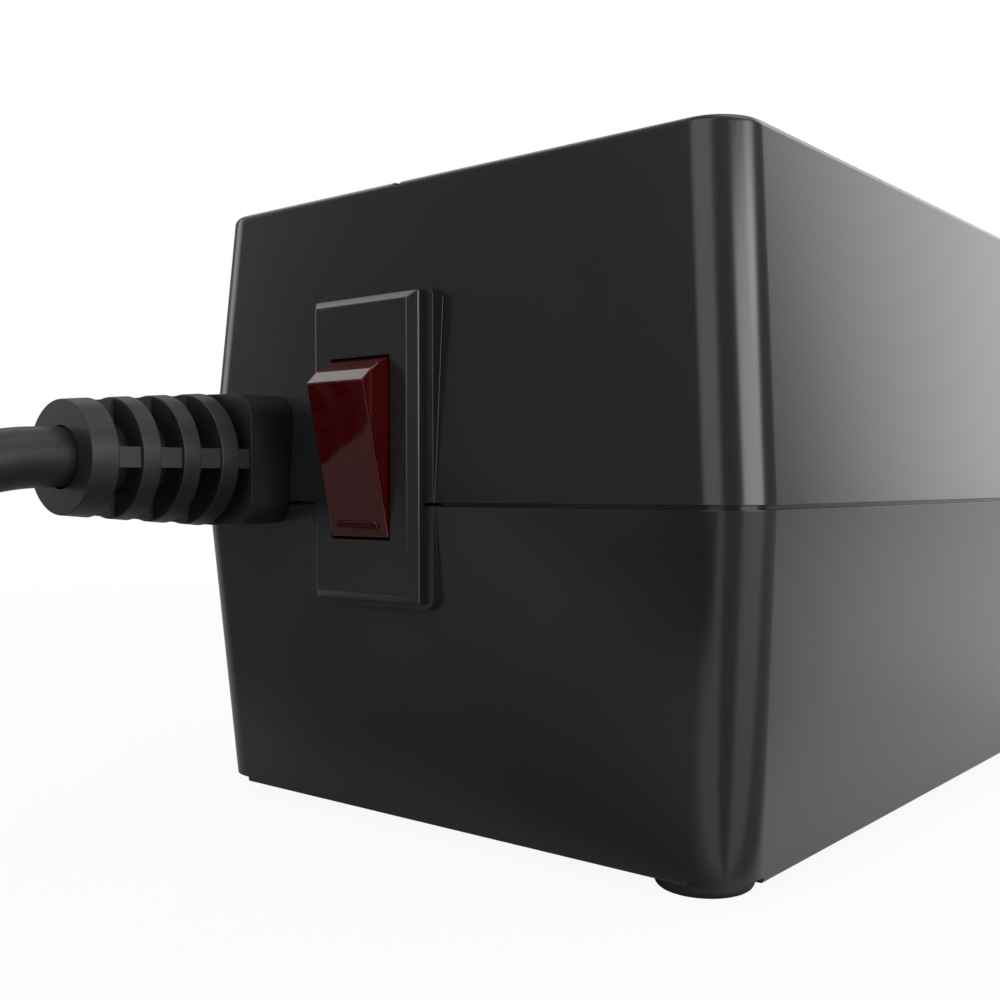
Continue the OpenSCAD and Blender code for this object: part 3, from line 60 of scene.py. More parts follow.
def placeCamera(look):
    turn, nod, lean = (math.radians(look[key]) for key in ("turn", "nod", "lean"))
    ahead = Vector((math.cos(nod)*math.cos(turn), math.cos(nod)*math.sin(turn), math.sin(nod)))
    right = Vector((math.sin(turn), -math.cos(turn), 0))
    up = right.cross(ahead)
    level, rise = right*math.cos(lean) + up*math.sin(lean), up*math.cos(lean) - right*math.sin(lean)
    bpy.ops.object.camera_add()
    camera = bpy.context.object
    camera.data.lens, camera.data.sensor_width = look["lens"], look["sensor"]
    camera.data.clip_start, camera.data.clip_end = look["near"], look["far"]
    stand = Matrix((level, rise, -ahead)).transposed().to_4x4()
    stand.translation = look["place"]
    camera.matrix_world = stand
    bpy.context.scene.camera = camera


placeCamera(cameraLook)
print("camera placed")


# finishes: nodes written as sums
class Wire:
    def __init__(self, finish, socket):
        self.finish, self.socket = finish, socket

    def sum(self, operation, first, second=None, clamp=False):
        sockets = {0: first} if second is None else {0: first, 1: second}
        return self.finish.addNode("ShaderNodeMath", {"operation": operation, "use_clamp": clamp}, sockets)

    def __add__(self, other): return self.sum("ADD", self, other)
    def __radd__(self, other): return self.sum("ADD", other, self)
    def __sub__(self, other): return self.sum("SUBTRACT", self, other)
    def __rsub__(self, other): return self.sum("SUBTRACT", other, self)
    def __mul__(self, other): return self.sum("MULTIPLY", self, other)
    def __rmul__(self, other): return self.sum("MULTIPLY", other, self)
    def __truediv__(self, other): return self.sum("DIVIDE", self, other)
    def __rtruediv__(self, other): return self.sum("DIVIDE", other, self)
    def wave(self): return self.sum("SINE", self)
    def whole(self): return self.sum("FRACT", self)
    def kept(self): return self.sum("ADD", self, 0, clamp=True)


class Finish:
    def __init__(self, name, tree=None):
        if tree is None:
            self.material = bpy.data.materials.new(name)
            self.material.use_nodes = True
            tree = self.material.node_tree
        self.tree = tree
        self.tree.nodes.clear()

    # settings come first, then the values or links of the sockets
    def addNode(self, kind, settings=None, sockets=None, out=0):
        node = self.tree.nodes.new(kind)
        for key, value in (settings or {}).items():
            if key == "stops":
                ramp = node.color_ramp.elements
                while len(ramp) < len(value):
                    ramp.new(0.5)
                for stop, (place, colour) in zip(ramp, value):
                    stop.position, stop.color = place, (*colour, 1)
            else:
                setattr(node, key, value)
        for key, value in (sockets or {}).items():
            if isinstance(value, Wire):
                self.tree.links.new(value.socket, node.inputs[key])
            elif isinstance(value, tuple) and len(value) == 3 and len(node.inputs[key].default_value) == 4:
                node.inputs[key].default_value = (*value, 1)
            else:
                node.inputs[key].default_value = value
        return Wire(self, node.outputs[out]) if node.outputs else None

    def place(self):
        return self.addNode("ShaderNodeTexCoord", out="Object")

    def along(self, place, axis):
        return self.addNode("ShaderNodeSeparateXYZ", {}, {"Vector": place}, out=axis)

    def stretched(self, place, scale):
        return self.addNode("ShaderNodeMapping", {}, {"Vector": place, "Scale": scale})

    def noise(self, place, scale, detail):
        return self.addNode("ShaderNodeTexNoise", {}, {"Vector": place, "Scale": scale, "Detail": detail}, out="Fac")

    def mixed(self, share, first, second):
        return self.addNode("ShaderNodeMix", {"data_type": "RGBA"}, {0: share, 6: first, 7: second}, out=2)

    def ramp(self, share, low, high):
        return self.addNode("ShaderNodeMapRange", {"interpolation_type": "SMOOTHSTEP"},
                            {"Value": share, "From Min": low, "From Max": high})

    def bump(self, height, strength, distance):
        return self.addNode("ShaderNodeBump", {}, {"Height": height, "Strength": strength, "Distance": distance})

    # the rays that show the white floor and surround
    def seenRays(self):
        camera = self.addNode("ShaderNodeLightPath", out="Is Camera Ray")
        return camera + self.addNode("ShaderNodeLightPath", out="Is Transmission Ray")

    def done(self, **sockets):
        named = {key.replace("_", " "): value for key, value in sockets.items()}
        shader = self.addNode("ShaderNodeBsdfPrincipled", {}, named)
        self.addNode("ShaderNodeOutputMaterial", {}, {"Surface": shader})
        return self.material


# moulded plastic: a faint cloud in the colour, fine grain in the skin
def mouldedPlastic(name, colour, paler, rough=0.3, grain=2600, depth=4e-6, spread=0.05, coat=0.0):
    finish = Finish(name)
    place = finish.place()
    cloud = finish.noise(place, scale=38, detail=3.0)
    skin = finish.noise(place, scale=grain, detail=2.0)
    return finish.done(
        Base_Color=finish.mixed(finish.ramp(cloud, low=0.35, high=0.7), colour, paler),
        Roughness=rough + (cloud - 0.5)*spread + (skin - 0.5)*spread,
        Normal=finish.bump(skin, strength=0.4, distance=depth), IOR=1.5,
        Specular_IOR_Level=0.5, Coat_Weight=coat, Coat_Roughness=0.06)


# rubber and soft vinyl: dull, with flow lines and dust in the grain
def rubberSkin(name, colour, paler, rough=0.5, depth=1.2e-5, flowRough=0.16):
    finish = Finish(name)
    place = finish.place()
    flow = finish.noise(place, scale=160, detail=4.0)
    skin = finish.noise(place, scale=1800, detail=3.0)
    return finish.done(
        Base_Color=finish.mixed(finish.ramp(flow, low=0.3, high=0.75), colour, paler),
        Roughness=rough + (flow - 0.5)*flowRough, Normal=finish.bump(skin, strength=0.5, distance=depth),
        IOR=1.48, Specular_IOR_Level=0.5)


# bare metal: drawn lines along one axis and a few dull patches
def metalFace(name, colour, darker, rough=0.28, lineRough=0.2, patchRough=0.12):
    finish = Finish(name)
    place = finish.place()
    lines = finish.noise(finish.stretched(place, scale=(1, 1, 12)), scale=700, detail=3.0)
    patch = finish.noise(place, scale=150, detail=4.0)
    return finish.done(
        Base_Color=finish.mixed(finish.ramp(patch, low=0.4, high=0.8), colour, darker), Metallic=1.0,
        Roughness=rough + (lines - 0.5)*lineRough + (patch - 0.5)*patchRough,
        Normal=finish.bump(lines, strength=0.25, distance=1e-5))


# layers seen at their edges: sheets of a core, or turns of a winding
def layeredFace(name, colour, darker, axis, pitch, rough, metallic, depth, ridgeShare=0.7, patchRough=0.2):
    finish = Finish(name)
    place = finish.place()
    ridge = (finish.along(place, axis)*(2*math.pi/pitch)).wave()*0.5 + 0.5
    patch = finish.noise(place, scale=220, detail=3.0)
    return finish.done(
        Base_Color=finish.mixed((ridge*ridgeShare + patch*(1 - ridgeShare)).kept(), darker, colour),
        Metallic=metallic, Roughness=rough + (patch - 0.5)*patchRough,
        Normal=finish.bump(ridge, strength=0.8, distance=depth), Coat_Weight=0.2)


# solder mask over copper tracks
def boardFace(name, colour, track, pads, rough=0.32, weaveRough=0.15):
    finish = Finish(name)
    place = finish.place()
    cells = finish.addNode("ShaderNodeTexVoronoi", {"feature": "DISTANCE_TO_EDGE"}, {"Vector": place, "Scale": 170})
    weave = finish.noise(place, scale=900, detail=2.0)
    gap = finish.ramp(cells, low=0.02, high=0.05)
    return finish.done(
        Base_Color=finish.mixed(gap, colour, finish.mixed(weave, track, pads)),
        Roughness=rough + weave*weaveRough, Normal=finish.bump(gap, strength=0.4, distance=3e-5), Coat_Weight=0.4)


# clear parts: tinted glass or plastic with faint flow marks
def clearPart(name, colour, rough, through, tint=0.9, flowRough=0.05):
    finish = Finish(name)
    flow = finish.noise(finish.place(), scale=260, detail=3.0)
    tinted = tuple(tint*level for level in colour)
    return finish.done(
        Base_Color=finish.mixed(finish.ramp(flow, low=0.3, high=0.8), colour, tinted),
        Roughness=rough + flow*flowRough, Transmission_Weight=through, IOR=1.47)


finishes = {
    "case": mouldedPlastic("case", (0.0125, 0.0125, 0.0128), (0.0150, 0.0150, 0.0152), 0.22, depth=1.5e-6, spread=0.03),
    "trim": mouldedPlastic("trim", (0.012, 0.012, 0.0125), (0.016,)*3, 0.36, depth=7e-6),
    "switch_plastic": mouldedPlastic("switch_plastic", (0.0125, 0.0125, 0.0128), (0.015,)*3, 0.21,
                                     depth=2e-7, spread=0.015),
    "rocker_plastic": mouldedPlastic("rocker_plastic", (0.043, 0.0011, 0.0015), (0.050, 0.0015, 0.0020), 0.07,
                                     grain=400, depth=1e-6, spread=0.02, coat=0.08),
    "contact_brass": metalFace("contact_brass", (0.78, 0.6, 0.3), (0.71, 0.53, 0.26)),
    "copper": metalFace("copper", (0.72, 0.36, 0.2), (0.5, 0.24, 0.14)),
    "steel": metalFace("steel", (0.62, 0.63, 0.64), (0.45, 0.46, 0.48), 0.34),
    "enamelled_wire": layeredFace("enamelled_wire", (0.62, 0.26, 0.1), (0.2, 0.06, 0.02), "Z", 0.0007, 0.3, 0.7, 2e-4),
    "lamination": layeredFace("lamination", (0.32, 0.33, 0.35), (0.08, 0.08, 0.09), "X", 0.001, 0.42, 0.8, 1e-4),
    "lens_plastic": clearPart("lens_plastic", (0.86, 0.87, 0.85), 0.28, 0.35),
    "lamp": clearPart("lamp", (0.95, 0.5, 0.2), 0.06, 0.8),
    "fuse_glass": clearPart("fuse_glass", (0.85, 0.9, 0.9), 0.04, 0.85),
    "led_green": mouldedPlastic("led_green", (0.06, 0.5, 0.1), (0.1, 0.62, 0.16), 0.15, coat=0.5),
    "board": boardFace("board", (0.02, 0.16, 0.06), (0.03, 0.24, 0.09), (0.05, 0.3, 0.12)),
    "cable_grey": rubberSkin("cable_grey", (0.24, 0.24, 0.25), (0.32,)*3),
    "cord_rubber": rubberSkin("cord_rubber", (0.0085, 0.0085, 0.0087), (0.012,)*3, 0.46, depth=4e-6),
    "tie": rubberSkin("tie", (0.02,)*3, (0.03,)*3, 0.38),
    "foot_rubber": rubberSkin("foot_rubber", (0.009,)*3, (0.016,)*3, 0.55),
    "bobbin": mouldedPlastic("bobbin", (0.72, 0.69, 0.6), (0.8, 0.78, 0.7), 0.4),
    "tape": mouldedPlastic("tape", (0.75, 0.55, 0.1), (0.82, 0.63, 0.16), 0.22, coat=0.4),
    "lead_red": rubberSkin("lead_red", (0.4, 0.03, 0.025), (0.48, 0.06, 0.05), 0.4),
    "relay_blue": mouldedPlastic("relay_blue", (0.04, 0.15, 0.45), (0.06, 0.2, 0.52), 0.3),
    "can_sleeve": mouldedPlastic("can_sleeve", (0.02, 0.03, 0.1), (0.03, 0.045, 0.14), 0.22, coat=0.3),
    "film_box": mouldedPlastic("film_box", (0.62, 0.46, 0.08), (0.72, 0.56, 0.13), 0.3),
    "chip": mouldedPlastic("chip", (0.014,)*3, (0.022,)*3, 0.5, depth=1.5e-5),
    "disc": mouldedPlastic("disc", (0.55, 0.24, 0.04), (0.62, 0.3, 0.06), 0.36, grain=900, depth=2e-5),
    "wire_brown": rubberSkin("wire_brown", (0.17, 0.06, 0.02), (0.22, 0.09, 0.035), 0.4),
    "wire_blue": rubberSkin("wire_blue", (0.04, 0.13, 0.38), (0.06, 0.17, 0.44), 0.4),
    "wire_green": rubberSkin("wire_green", (0.12, 0.3, 0.03), (0.17, 0.38, 0.06), 0.4),
}
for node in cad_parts.values():
    for slot in node.material_slots:
        slot.material = finishes[slot.material.name.split(".")[0]]
print("finishes made:", len(finishes))


# helpers for modelling: everything in millimetres until it is finished
def deselectAll():
    if bpy.context.object and bpy.context.object.mode != "OBJECT":
        bpy.ops.object.mode_set(mode="OBJECT")
    bpy.ops.object.select_all(action="DESELECT")


def choose(piece):
    deselectAll()
    piece.select_set(True)
    bpy.context.view_layer.objects.active = piece


def settle(piece, name=None):
    choose(piece)
    bpy.ops.object.transform_apply(location=True, rotation=True, scale=True)
    if name:
        piece.name = name
    return piece


def startEdit(piece):
    choose(piece)
    bpy.ops.object.mode_set(mode="EDIT")
    bpy.ops.mesh.select_all(action="DESELECT")


def endEdit():
    bpy.ops.object.mode_set(mode="OBJECT")


def pick(kind, test):
    bpy.ops.mesh.select_mode(type=kind)
    bpy.ops.mesh.select_all(action="DESELECT")
    mesh = bmesh.from_edit_mesh(bpy.context.object.data)
    for part in {"EDGE": mesh.edges, "FACE": mesh.faces}[kind]:
        if test(part):
            part.select_set(True)
    mesh.select_flush_mode()
    bmesh.update_edit_mesh(bpy.context.object.data)


def runs(edge, axis):
    way = edge.verts[1].co - edge.verts[0].co
    return abs(way[axis]) > 0.97*way.length


def climbs(edge, axis, least):
    return abs(edge.verts[1].co[axis] - edge.verts[0].co[axis]) > least


def lies(part, axis, value, slack=0.01):
    return all(abs(corner.co[axis] - value) < slack for corner in part.verts)


def liesEitherSide(part, axis, value, slack=0.01):
    return all(abs(abs(corner.co[axis]) - value) < slack for corner in part.verts)


def addBox(name, low, high):
    deselectAll()
    bpy.ops.mesh.primitive_cube_add(size=1, location=[(a + b)/2 for a, b in zip(low, high)])
    bpy.context.object.scale = [b - a for a, b in zip(low, high)]
    return settle(bpy.context.object, name)


# a block through the end panel: its start and end along X, its middle, width and height on the panel
def addPanelBlock(name, start, end, middle, wide, high):
    y, z = middle[1], middle[2]
    return addBox(name, (start, y - wide/2, z - high/2), (end, y + wide/2, z + high/2))


def addRod(name, radius, low, high, middle, axis=2, sides=48):
    deselectAll()
    turn = {0: (0, math.pi/2, 0), 1: (math.pi/2, 0, 0), 2: (0, 0, 0)}[axis]
    place = list(middle)
    place.insert(axis, (low + high)/2)
    bpy.ops.mesh.primitive_cylinder_add(vertices=sides, radius=radius, depth=high - low, location=place, rotation=turn)
    return settle(bpy.context.object, name)


def addRods(name, radius, low, high, places, sides=48):
    return [addRod(name, radius, low, high, place, sides=sides) for place in places]


def bevelEdges(piece, test, width, segments=3):
    startEdit(piece)
    pick("EDGE", test)
    bpy.ops.mesh.bevel(offset=width, segments=segments, affect="EDGES", offset_type="OFFSET")
    endEdit()


def cutAway(piece, place, away):
    startEdit(piece)
    bpy.ops.mesh.select_all(action="SELECT")
    bpy.ops.mesh.bisect(plane_co=place, plane_no=away, use_fill=True, clear_outer=True)
    endEdit()


# extrudes what is picked, then resizes it about a place
def pushOut(step, scale=(1, 1, 1), centre=(0, 0, 0)):
    bpy.ops.mesh.extrude_region_move(TRANSFORM_OT_translate={"value": step})
    if scale != (1, 1, 1):
        bpy.ops.transform.resize(value=scale, center_override=centre)


def taper(piece, test, scale, centre):
    startEdit(piece)
    pick("FACE", test)
    bpy.ops.transform.resize(value=scale, center_override=centre)
    endEdit()


def roundBar(name, low, high, radius, axis=2, segments=8):
    piece = addBox(name, low, high)
    bevelEdges(piece, lambda edge: runs(edge, axis), radius, segments)
    return piece


def joined(pieces):
    deselectAll()
    for piece in pieces:
        piece.select_set(True)
    bpy.context.view_layer.objects.active = pieces[0]
    if len(pieces) > 1:
        bpy.ops.object.join()
    return pieces[0]


def combine(piece, tools, how, overlaps=False):
    tool = joined(tools)
    choose(piece)
    change = piece.modifiers.new(how.lower(), "BOOLEAN")
    change.operation, change.solver, change.object, change.use_self = how, "EXACT", tool, overlaps
    bpy.ops.object.modifier_apply(modifier=change.name)
    bpy.data.objects.remove(tool)
    return piece


# a turned shape: a disc pushed out step by step along +Z and resized at each step
def turned(name, steps, sides=64):
    deselectAll()
    bpy.ops.mesh.primitive_circle_add(vertices=sides, radius=steps[0][1], fill_type="NGON", location=(0, 0, steps[0][0]))
    piece = settle(bpy.context.object, name)
    startEdit(piece)
    bpy.ops.mesh.select_mode(type="FACE")
    bpy.ops.mesh.select_all(action="SELECT")
    for (low, wide), (high, wider) in zip(steps, steps[1:]):
        pushOut((0, 0, high - low), (wider/wide, wider/wide, 1), (0, 0, high))
    bpy.ops.mesh.select_all(action="SELECT")
    bpy.ops.mesh.normals_make_consistent(inside=False)
    endEdit()
    return piece


def moved(piece, place=(0, 0, 0), turn=(0, 0, 0)):
    piece.rotation_euler = [math.radians(angle) for angle in turn]
    piece.location = place
    return settle(piece)


def copied(piece, name):
    copy = piece.copy()
    copy.data = piece.data.copy()
    bpy.context.scene.collection.objects.link(copy)
    copy.name = name
    return copy


# to metres, smooth where it should be, on its body and in its CAD nodes' place
def finishPiece(piece, name, rides, slot, stands, angle=32):
    choose(piece)
    bpy.ops.object.mode_set(mode="EDIT")
    bpy.ops.mesh.select_all(action="SELECT")
    bpy.ops.mesh.remove_doubles(threshold=0.0005)  # still in millimetres
    bpy.ops.mesh.normals_make_consistent(inside=False)
    endEdit()
    piece.scale = (toMetres, toMetres, toMetres)
    settle(piece, name)
    piece.data.name = name
    bpy.ops.object.shade_smooth_by_angle(angle=math.radians(angle))
    weigh = piece.modifiers.new("weigh", "WEIGHTED_NORMAL")
    weigh.keep_sharp, weigh.weight = True, 80
    bpy.ops.object.modifier_apply(modifier=weigh.name)
    piece.data.materials.clear()
    piece.data.materials.append(finishes[slot])
    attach(piece, rides)
    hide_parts(*stands)
    return piece


# plug, tie and cord
plugSizes = {
    "x": -190, "z": 29.4, "back": -23, "rings": 4, "ringStep": 5, "ringShare": 0.7, "ringSlope": 0.05, "ringEdge": 0.3,
    "grooveDepth": 1, "thin": 5.2, "thick": 6.4, "tailEdge": 0.4, "bootLength": 21,
    "gripStart": -3, "gripWide": 7, "front": 27, "width": 25, "height": 23, "neckShare": 0.62,
    "round": 4, "edge": 1.2, "neckEdge": 0.8, "cordHole": 4.35, "holeDepth": 3,
    "root": 21, "bladeGap": 12.7, "bladeZ": 24.4, "bladeThick": 1.5, "bladeWide": 6.35, "bladeTip": 44.5,
    "bladeEdge": 0.5, "bladeHole": 1.6, "bladeHoleIn": 4, "pinZ": 36.3, "pinRadius": 2.38,
    "pinSteps": [(0, 2.38), (24.1, 2.38), (25.3, 2.0), (26.2, 1.5), (26.5, 1.19)],
}


def modelPlug(sizes):
    edge, deep, share = sizes["ringEdge"], sizes["grooveDepth"], sizes["ringShare"]
    grow = lambda ring: sizes["thin"] + (sizes["thick"] - sizes["thin"])*ring/sizes["rings"]
    steps = [(0, sizes["thin"] - sizes["tailEdge"]), (sizes["tailEdge"], sizes["thin"])]
    for k in range(sizes["rings"]):
        shut, end = (k + share)*sizes["ringStep"], (k + 1)*sizes["ringStep"]
        steps += [(shut - edge, grow(k + share - sizes["ringSlope"])), (shut, grow(k + share) - edge),
                  (shut, grow(k + share) - deep), (end, grow(k + 1) - deep)]
        if k + 1 < sizes["rings"]:
            steps += [(end, grow(k + 1) - edge), (end + edge, grow(k + 1 + sizes["ringSlope"]))]
    steps.append((sizes["bootLength"], sizes["thin"]))
    x, z, root = sizes["x"], sizes["z"], sizes["root"]
    boot = moved(turned("plug boot", steps), (x, sizes["back"], z), (-90, 0, 0))

    wide, high, neck = sizes["width"]/2, sizes["height"]/2, sizes["neckShare"]
    start, shoulder, front = sizes["gripStart"], sizes["gripWide"], sizes["front"]
    plug = addBox("plug", (x - neck*wide, start, z - neck*high), (x + neck*wide, start + 1, z + neck*high))
    startEdit(plug)
    pick("FACE", lambda face: lies(face, 1, start + 1))
    pushOut((0, shoulder - start - 1, 0), (1/neck, 1, 1/neck), (x, shoulder, z))
    pushOut((0, front - shoulder, 0))
    endEdit()
    bevelEdges(plug, lambda edge: climbs(edge, 1, 0.5), sizes["round"], 8)
    bevelEdges(plug, lambda edge: lies(edge, 1, front), sizes["edge"], 4)
    bevelEdges(plug, lambda edge: lies(edge, 1, start), sizes["neckEdge"], 3)
    combine(plug, [boot], "UNION")

    bladePlaces = (x - sizes["bladeGap"]/2, x + sizes["bladeGap"]/2)
    thin, tall = sizes["bladeThick"]/2, sizes["bladeWide"]/2
    bladeBar = lambda name, place, end: addBox(name, (place - thin, root, sizes["bladeZ"] - tall),
                                               (place + thin, end, sizes["bladeZ"] + tall))
    cuts = [addRod("cord hole", sizes["cordHole"], sizes["back"] - 1, sizes["back"] + sizes["holeDepth"], (x, z), axis=1)]
    cuts += [bladeBar("blade slot", place, front + 1) for place in bladePlaces]
    cuts.append(addRod("pin slot", sizes["pinRadius"], root, front + 1, (x, sizes["pinZ"]), axis=1))
    combine(plug, cuts, "DIFFERENCE")
    plug = finishPiece(plug, "mainsPlug", "case", "cord_rubber", ["plug_body"])

    blades = []
    for place in bladePlaces:
        blade = bladeBar("blade", place, sizes["bladeTip"])
        hole = addRod("blade hole", sizes["bladeHole"], place - 2, place + 2,
                      (sizes["bladeTip"] - sizes["bladeHoleIn"], sizes["bladeZ"]), axis=0, sides=32)
        combine(blade, [hole], "DIFFERENCE")
        bevelEdges(blade, lambda edge: lies(edge, 1, sizes["bladeTip"]), sizes["bladeEdge"], 3)
        blades.append(blade)
    blades = finishPiece(joined(blades), "plugBlades", "case", "contact_brass", ["plug_blades"])
    pin = moved(turned("pin", sizes["pinSteps"], 40), (x, root, sizes["pinZ"]), (-90, 0, 0))
    pin = finishPiece(pin, "plugPin", "case", "contact_brass", ["plug_ground_pin"], angle=40)
    return [plug, blades, pin]


coilSizes = {
    "middle": (-230, -18.4), "radius": 55, "pitch": 8.8, "layer": 8.7, "height": 4.8,
    "inTurns": 2.25, "outTurns": 2, "steps": 48,
}
tieSizes = {
    "angle": 105, "inner": 32.48, "outer": 59.18, "low": 0.62, "high": 18.05, "thick": 0.6, "wide": 8, "round": 3,
    "edge": 0.15,
}
cordSizes = {
    "radius": 4.1, "steps": 6, "exit": (-104.8, 36.6, 53.4),
    "lead": [(-104.8, 36.6, 53.4), (-110, 36.6, 53.4), (-116, 36.6, 52.9), (-124, 36.6, 51.1), (-134, 36.6, 47.2),
             (-146, 36.6, 40.3), (-160, 36.6, 30.5), (-174, 36.6, 20.4), (-188, 36.6, 12.2), (-202, 36.6, 7.2),
             (-216, 36.6, 5.1), (-223, 36.6, 4.8), (-230, 36.6, 4.8)],
    "tail": [(-282.8, -18.4, 13.5), (-282.3, -28, 13.7), (-278.8, -41, 14.6), (-272, -53, 16.2), (-262, -63, 18.2),
             (-250, -69.7, 20.2), (-237, -73, 22.2), (-224, -72.4, 24.2), (-211.5, -67.4, 26), (-201, -58.8, 27.6),
             (-193.8, -47.6, 28.8), (-190.4, -37, 29.3), (-190, -28, 29.4), (-190, -20, 29.4)],
}


# a smooth curve through all the points
def softened(points, steps):
    path = []
    ends = [points[0], *points, points[-1]]
    for a, b, c, d in zip(ends, ends[1:], ends[2:], ends[3:]):
        a, b, c, d = Vector(a), Vector(b), Vector(c), Vector(d)
        for k in range(steps):
            t = k/steps
            path.append(b*(1 - t)**2*(1 + 2*t) + c*t*t*(3 - 2*t) + (c - a)/2*t*(1 - t)**2 - (d - b)/2*t*t*(1 - t))
    return path + [Vector(points[-1])]


# the coil's first layer winds inwards, its second one outwards on top
def coilPoints(sizes):
    points = []
    for k in range(1, int((sizes["inTurns"] + sizes["outTurns"])*sizes["steps"])):
        t = k/sizes["steps"]
        radius = sizes["radius"] - sizes["pitch"]*(t if t < sizes["inTurns"] else 2*sizes["inTurns"] - t)
        climb = min(max(2*(t - sizes["inTurns"]) + 0.5, 0), 1)
        angle = math.radians(90 + 360*t)
        points.append(Vector((sizes["middle"][0] + radius*math.cos(angle), sizes["middle"][1] + radius*math.sin(angle),
                              sizes["height"] + sizes["layer"]*climb*climb*(3 - 2*climb))))
    return points


def modelTie(sizes):
    inner, outer, low, high = sizes["inner"], sizes["outer"], sizes["low"], sizes["high"]
    half = sizes["wide"]/2
    tie = addBox("tie", (inner, -half, low), (outer, half, high))
    bevelEdges(tie, lambda edge: runs(edge, 1), sizes["round"], 8)
    startEdit(tie)
    pick("FACE", lambda face: abs(face.normal.y) > 0.9)
    bpy.ops.mesh.delete(type="FACE")
    endEdit()
    choose(tie)
    wall = tie.modifiers.new("wall", "SOLIDIFY")
    wall.thickness, wall.offset = sizes["thick"], 1
    bpy.ops.object.modifier_apply(modifier=wall.name)
    bevelEdges(tie, lambda edge: liesEitherSide(edge, 1, half) and len(edge.link_faces) == 2
               and edge.calc_face_angle(0) > 1, sizes["edge"], 2)
    tie = moved(tie, (*coilSizes["middle"], 0), (0, 0, sizes["angle"]))
    return finishPiece(tie, "coilTie", "case", "tie", ["coil_tie"], angle=40)


def modelCord(sizes):
    path = softened(sizes["lead"], sizes["steps"]) + coilPoints(coilSizes) + softened(sizes["tail"], sizes["steps"])
    line = bpy.data.curves.new("mainsCord", "CURVE")
    line.dimensions = "3D"
    run = line.splines.new("POLY")
    run.points.add(len(path) - 1)
    for point, place in zip(run.points, path):
        point.co = (*(place*toMetres), 1)
    run.use_smooth = True
    line.bevel_depth = sizes["radius"]*toMetres
    line.bevel_resolution = 10
    line.use_fill_caps = True
    cord = bpy.data.objects.new("mainsCord", line)
    bpy.context.scene.collection.objects.link(cord)
    line.materials.append(finishes["cord_rubber"])
    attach(cord, "case")
    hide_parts("cord_lead", "cord_coil", "cord_tail")
    length = sum((b - a).length for a, b in zip(path, path[1:]))*toMetres
    print("cord length", round(length, 4))
    return cord


plugPieces = modelPlug(plugSizes)
coilTie = modelTie(tieSizes)
mainsCord = modelCord(cordSizes)
print("cord, tie and plug made")


# strain relief: ribbed tail, side fins and the block against the wall
reliefSizes = {
    "length": 31.5, "radius": 7.9, "grow": 0.085, "cuts": (3.94, 7.40, 10.14, 13.61, 16.29, 19.69, 22.46, 24.51),
    "core": 5, "edge": 0.16, "spineThick": 2.8, "spineIn": 0.5, "topSpineIn": 0.2, "spineEnd": 25.5,
    "blockWide": 20, "blockHigh": 19.4, "blockRound": 4, "blockEdge": 0.06, "blockIn": 3, "blockOff": 0.15, "neck": 15,
    "flange": 19, "flangeRound": 4, "flangeThick": 2.5, "back": 3.68, "stub": 6, "stubRadius": 4.1,
    "hole": 4.35, "holeDepth": 3,
}


def modelRelief(sizes):
    x, y, z = reliefMiddle
    edge, cuts, core = sizes["edge"], sizes["cuts"], sizes["core"]
    tip, back = x - sizes["length"], x + sizes["back"]
    blockStart = tip + cuts[7]
    reach = lambda d: sizes["radius"] + sizes["grow"]*d
    quarter = [(1 - math.cos(math.radians(turn)), 1 - math.sin(math.radians(turn))) for turn in (0, 30, 60, 90)]
    steps = []
    for start, end in zip((0, *cuts[1::2]), cuts[0::2]):
        steps += [(start, core)] if start else []
        steps += [(start + edge*ahead, reach(start) - edge*down) for ahead, down in quarter]
        steps += [(end - edge*ahead, reach(end) - edge*down) for ahead, down in reversed(quarter)]
        steps.append((end, core))
    steps.append((sizes["length"], core))
    relief = turned("relief", steps, 96)
    for turn, down in ((0, sizes["spineIn"]), (90, sizes["topSpineIn"])):
        wide, thin, end = reach(0) - down, sizes["spineThick"]/2, sizes["spineEnd"]
        fin = addBox("fin", (-wide, -thin, cuts[0]/2), (wide, thin, cuts[7] + 1))
        taper(fin, lambda face: face.normal.z > 0.9, ((reach(end) - down)/wide, 1, 1), (0, 0, end))
        combine(relief, [moved(fin, turn=(0, 0, turn))], "UNION")
    relief = moved(relief, (tip, y, z), (90, 0, 90))

    block = addPanelBlock("block", blockStart, x + sizes["blockIn"], reliefMiddle, sizes["blockWide"], sizes["blockHigh"])
    bevelEdges(block, lambda edge: runs(edge, 0), sizes["blockRound"], 10)
    bevelEdges(block, lambda edge: lies(edge, 0, blockStart), sizes["blockEdge"], 4)
    cutAway(block, (x - sizes["blockOff"], 0, case["parting"]), (1, 0, -case["endLean"]/case["topHeight"]))
    combine(relief, [block], "UNION")
    neck = addPanelBlock("neck", x - 1, back + 1, reliefMiddle, sizes["neck"], sizes["neck"])
    flange = addPanelBlock("flange", back, back + sizes["flangeThick"], reliefMiddle, sizes["flange"], sizes["flange"])
    bevelEdges(flange, lambda edge: runs(edge, 0), sizes["flangeRound"], 8)
    stub = addRod("stub", sizes["stubRadius"], back, back + sizes["flangeThick"] + sizes["stub"], (y, z), axis=0)
    combine(relief, [neck, flange, stub], "UNION", overlaps=True)
    hole = addRod("cord hole", sizes["hole"], tip - 1, tip + sizes["holeDepth"], (y, z), axis=0)
    combine(relief, [hole], "DIFFERENCE")
    return finishPiece(relief, "strainRelief", "case", "cord_rubber", ["strain_relief"], angle=38)


modelRelief(reliefSizes)
print("strain relief made")


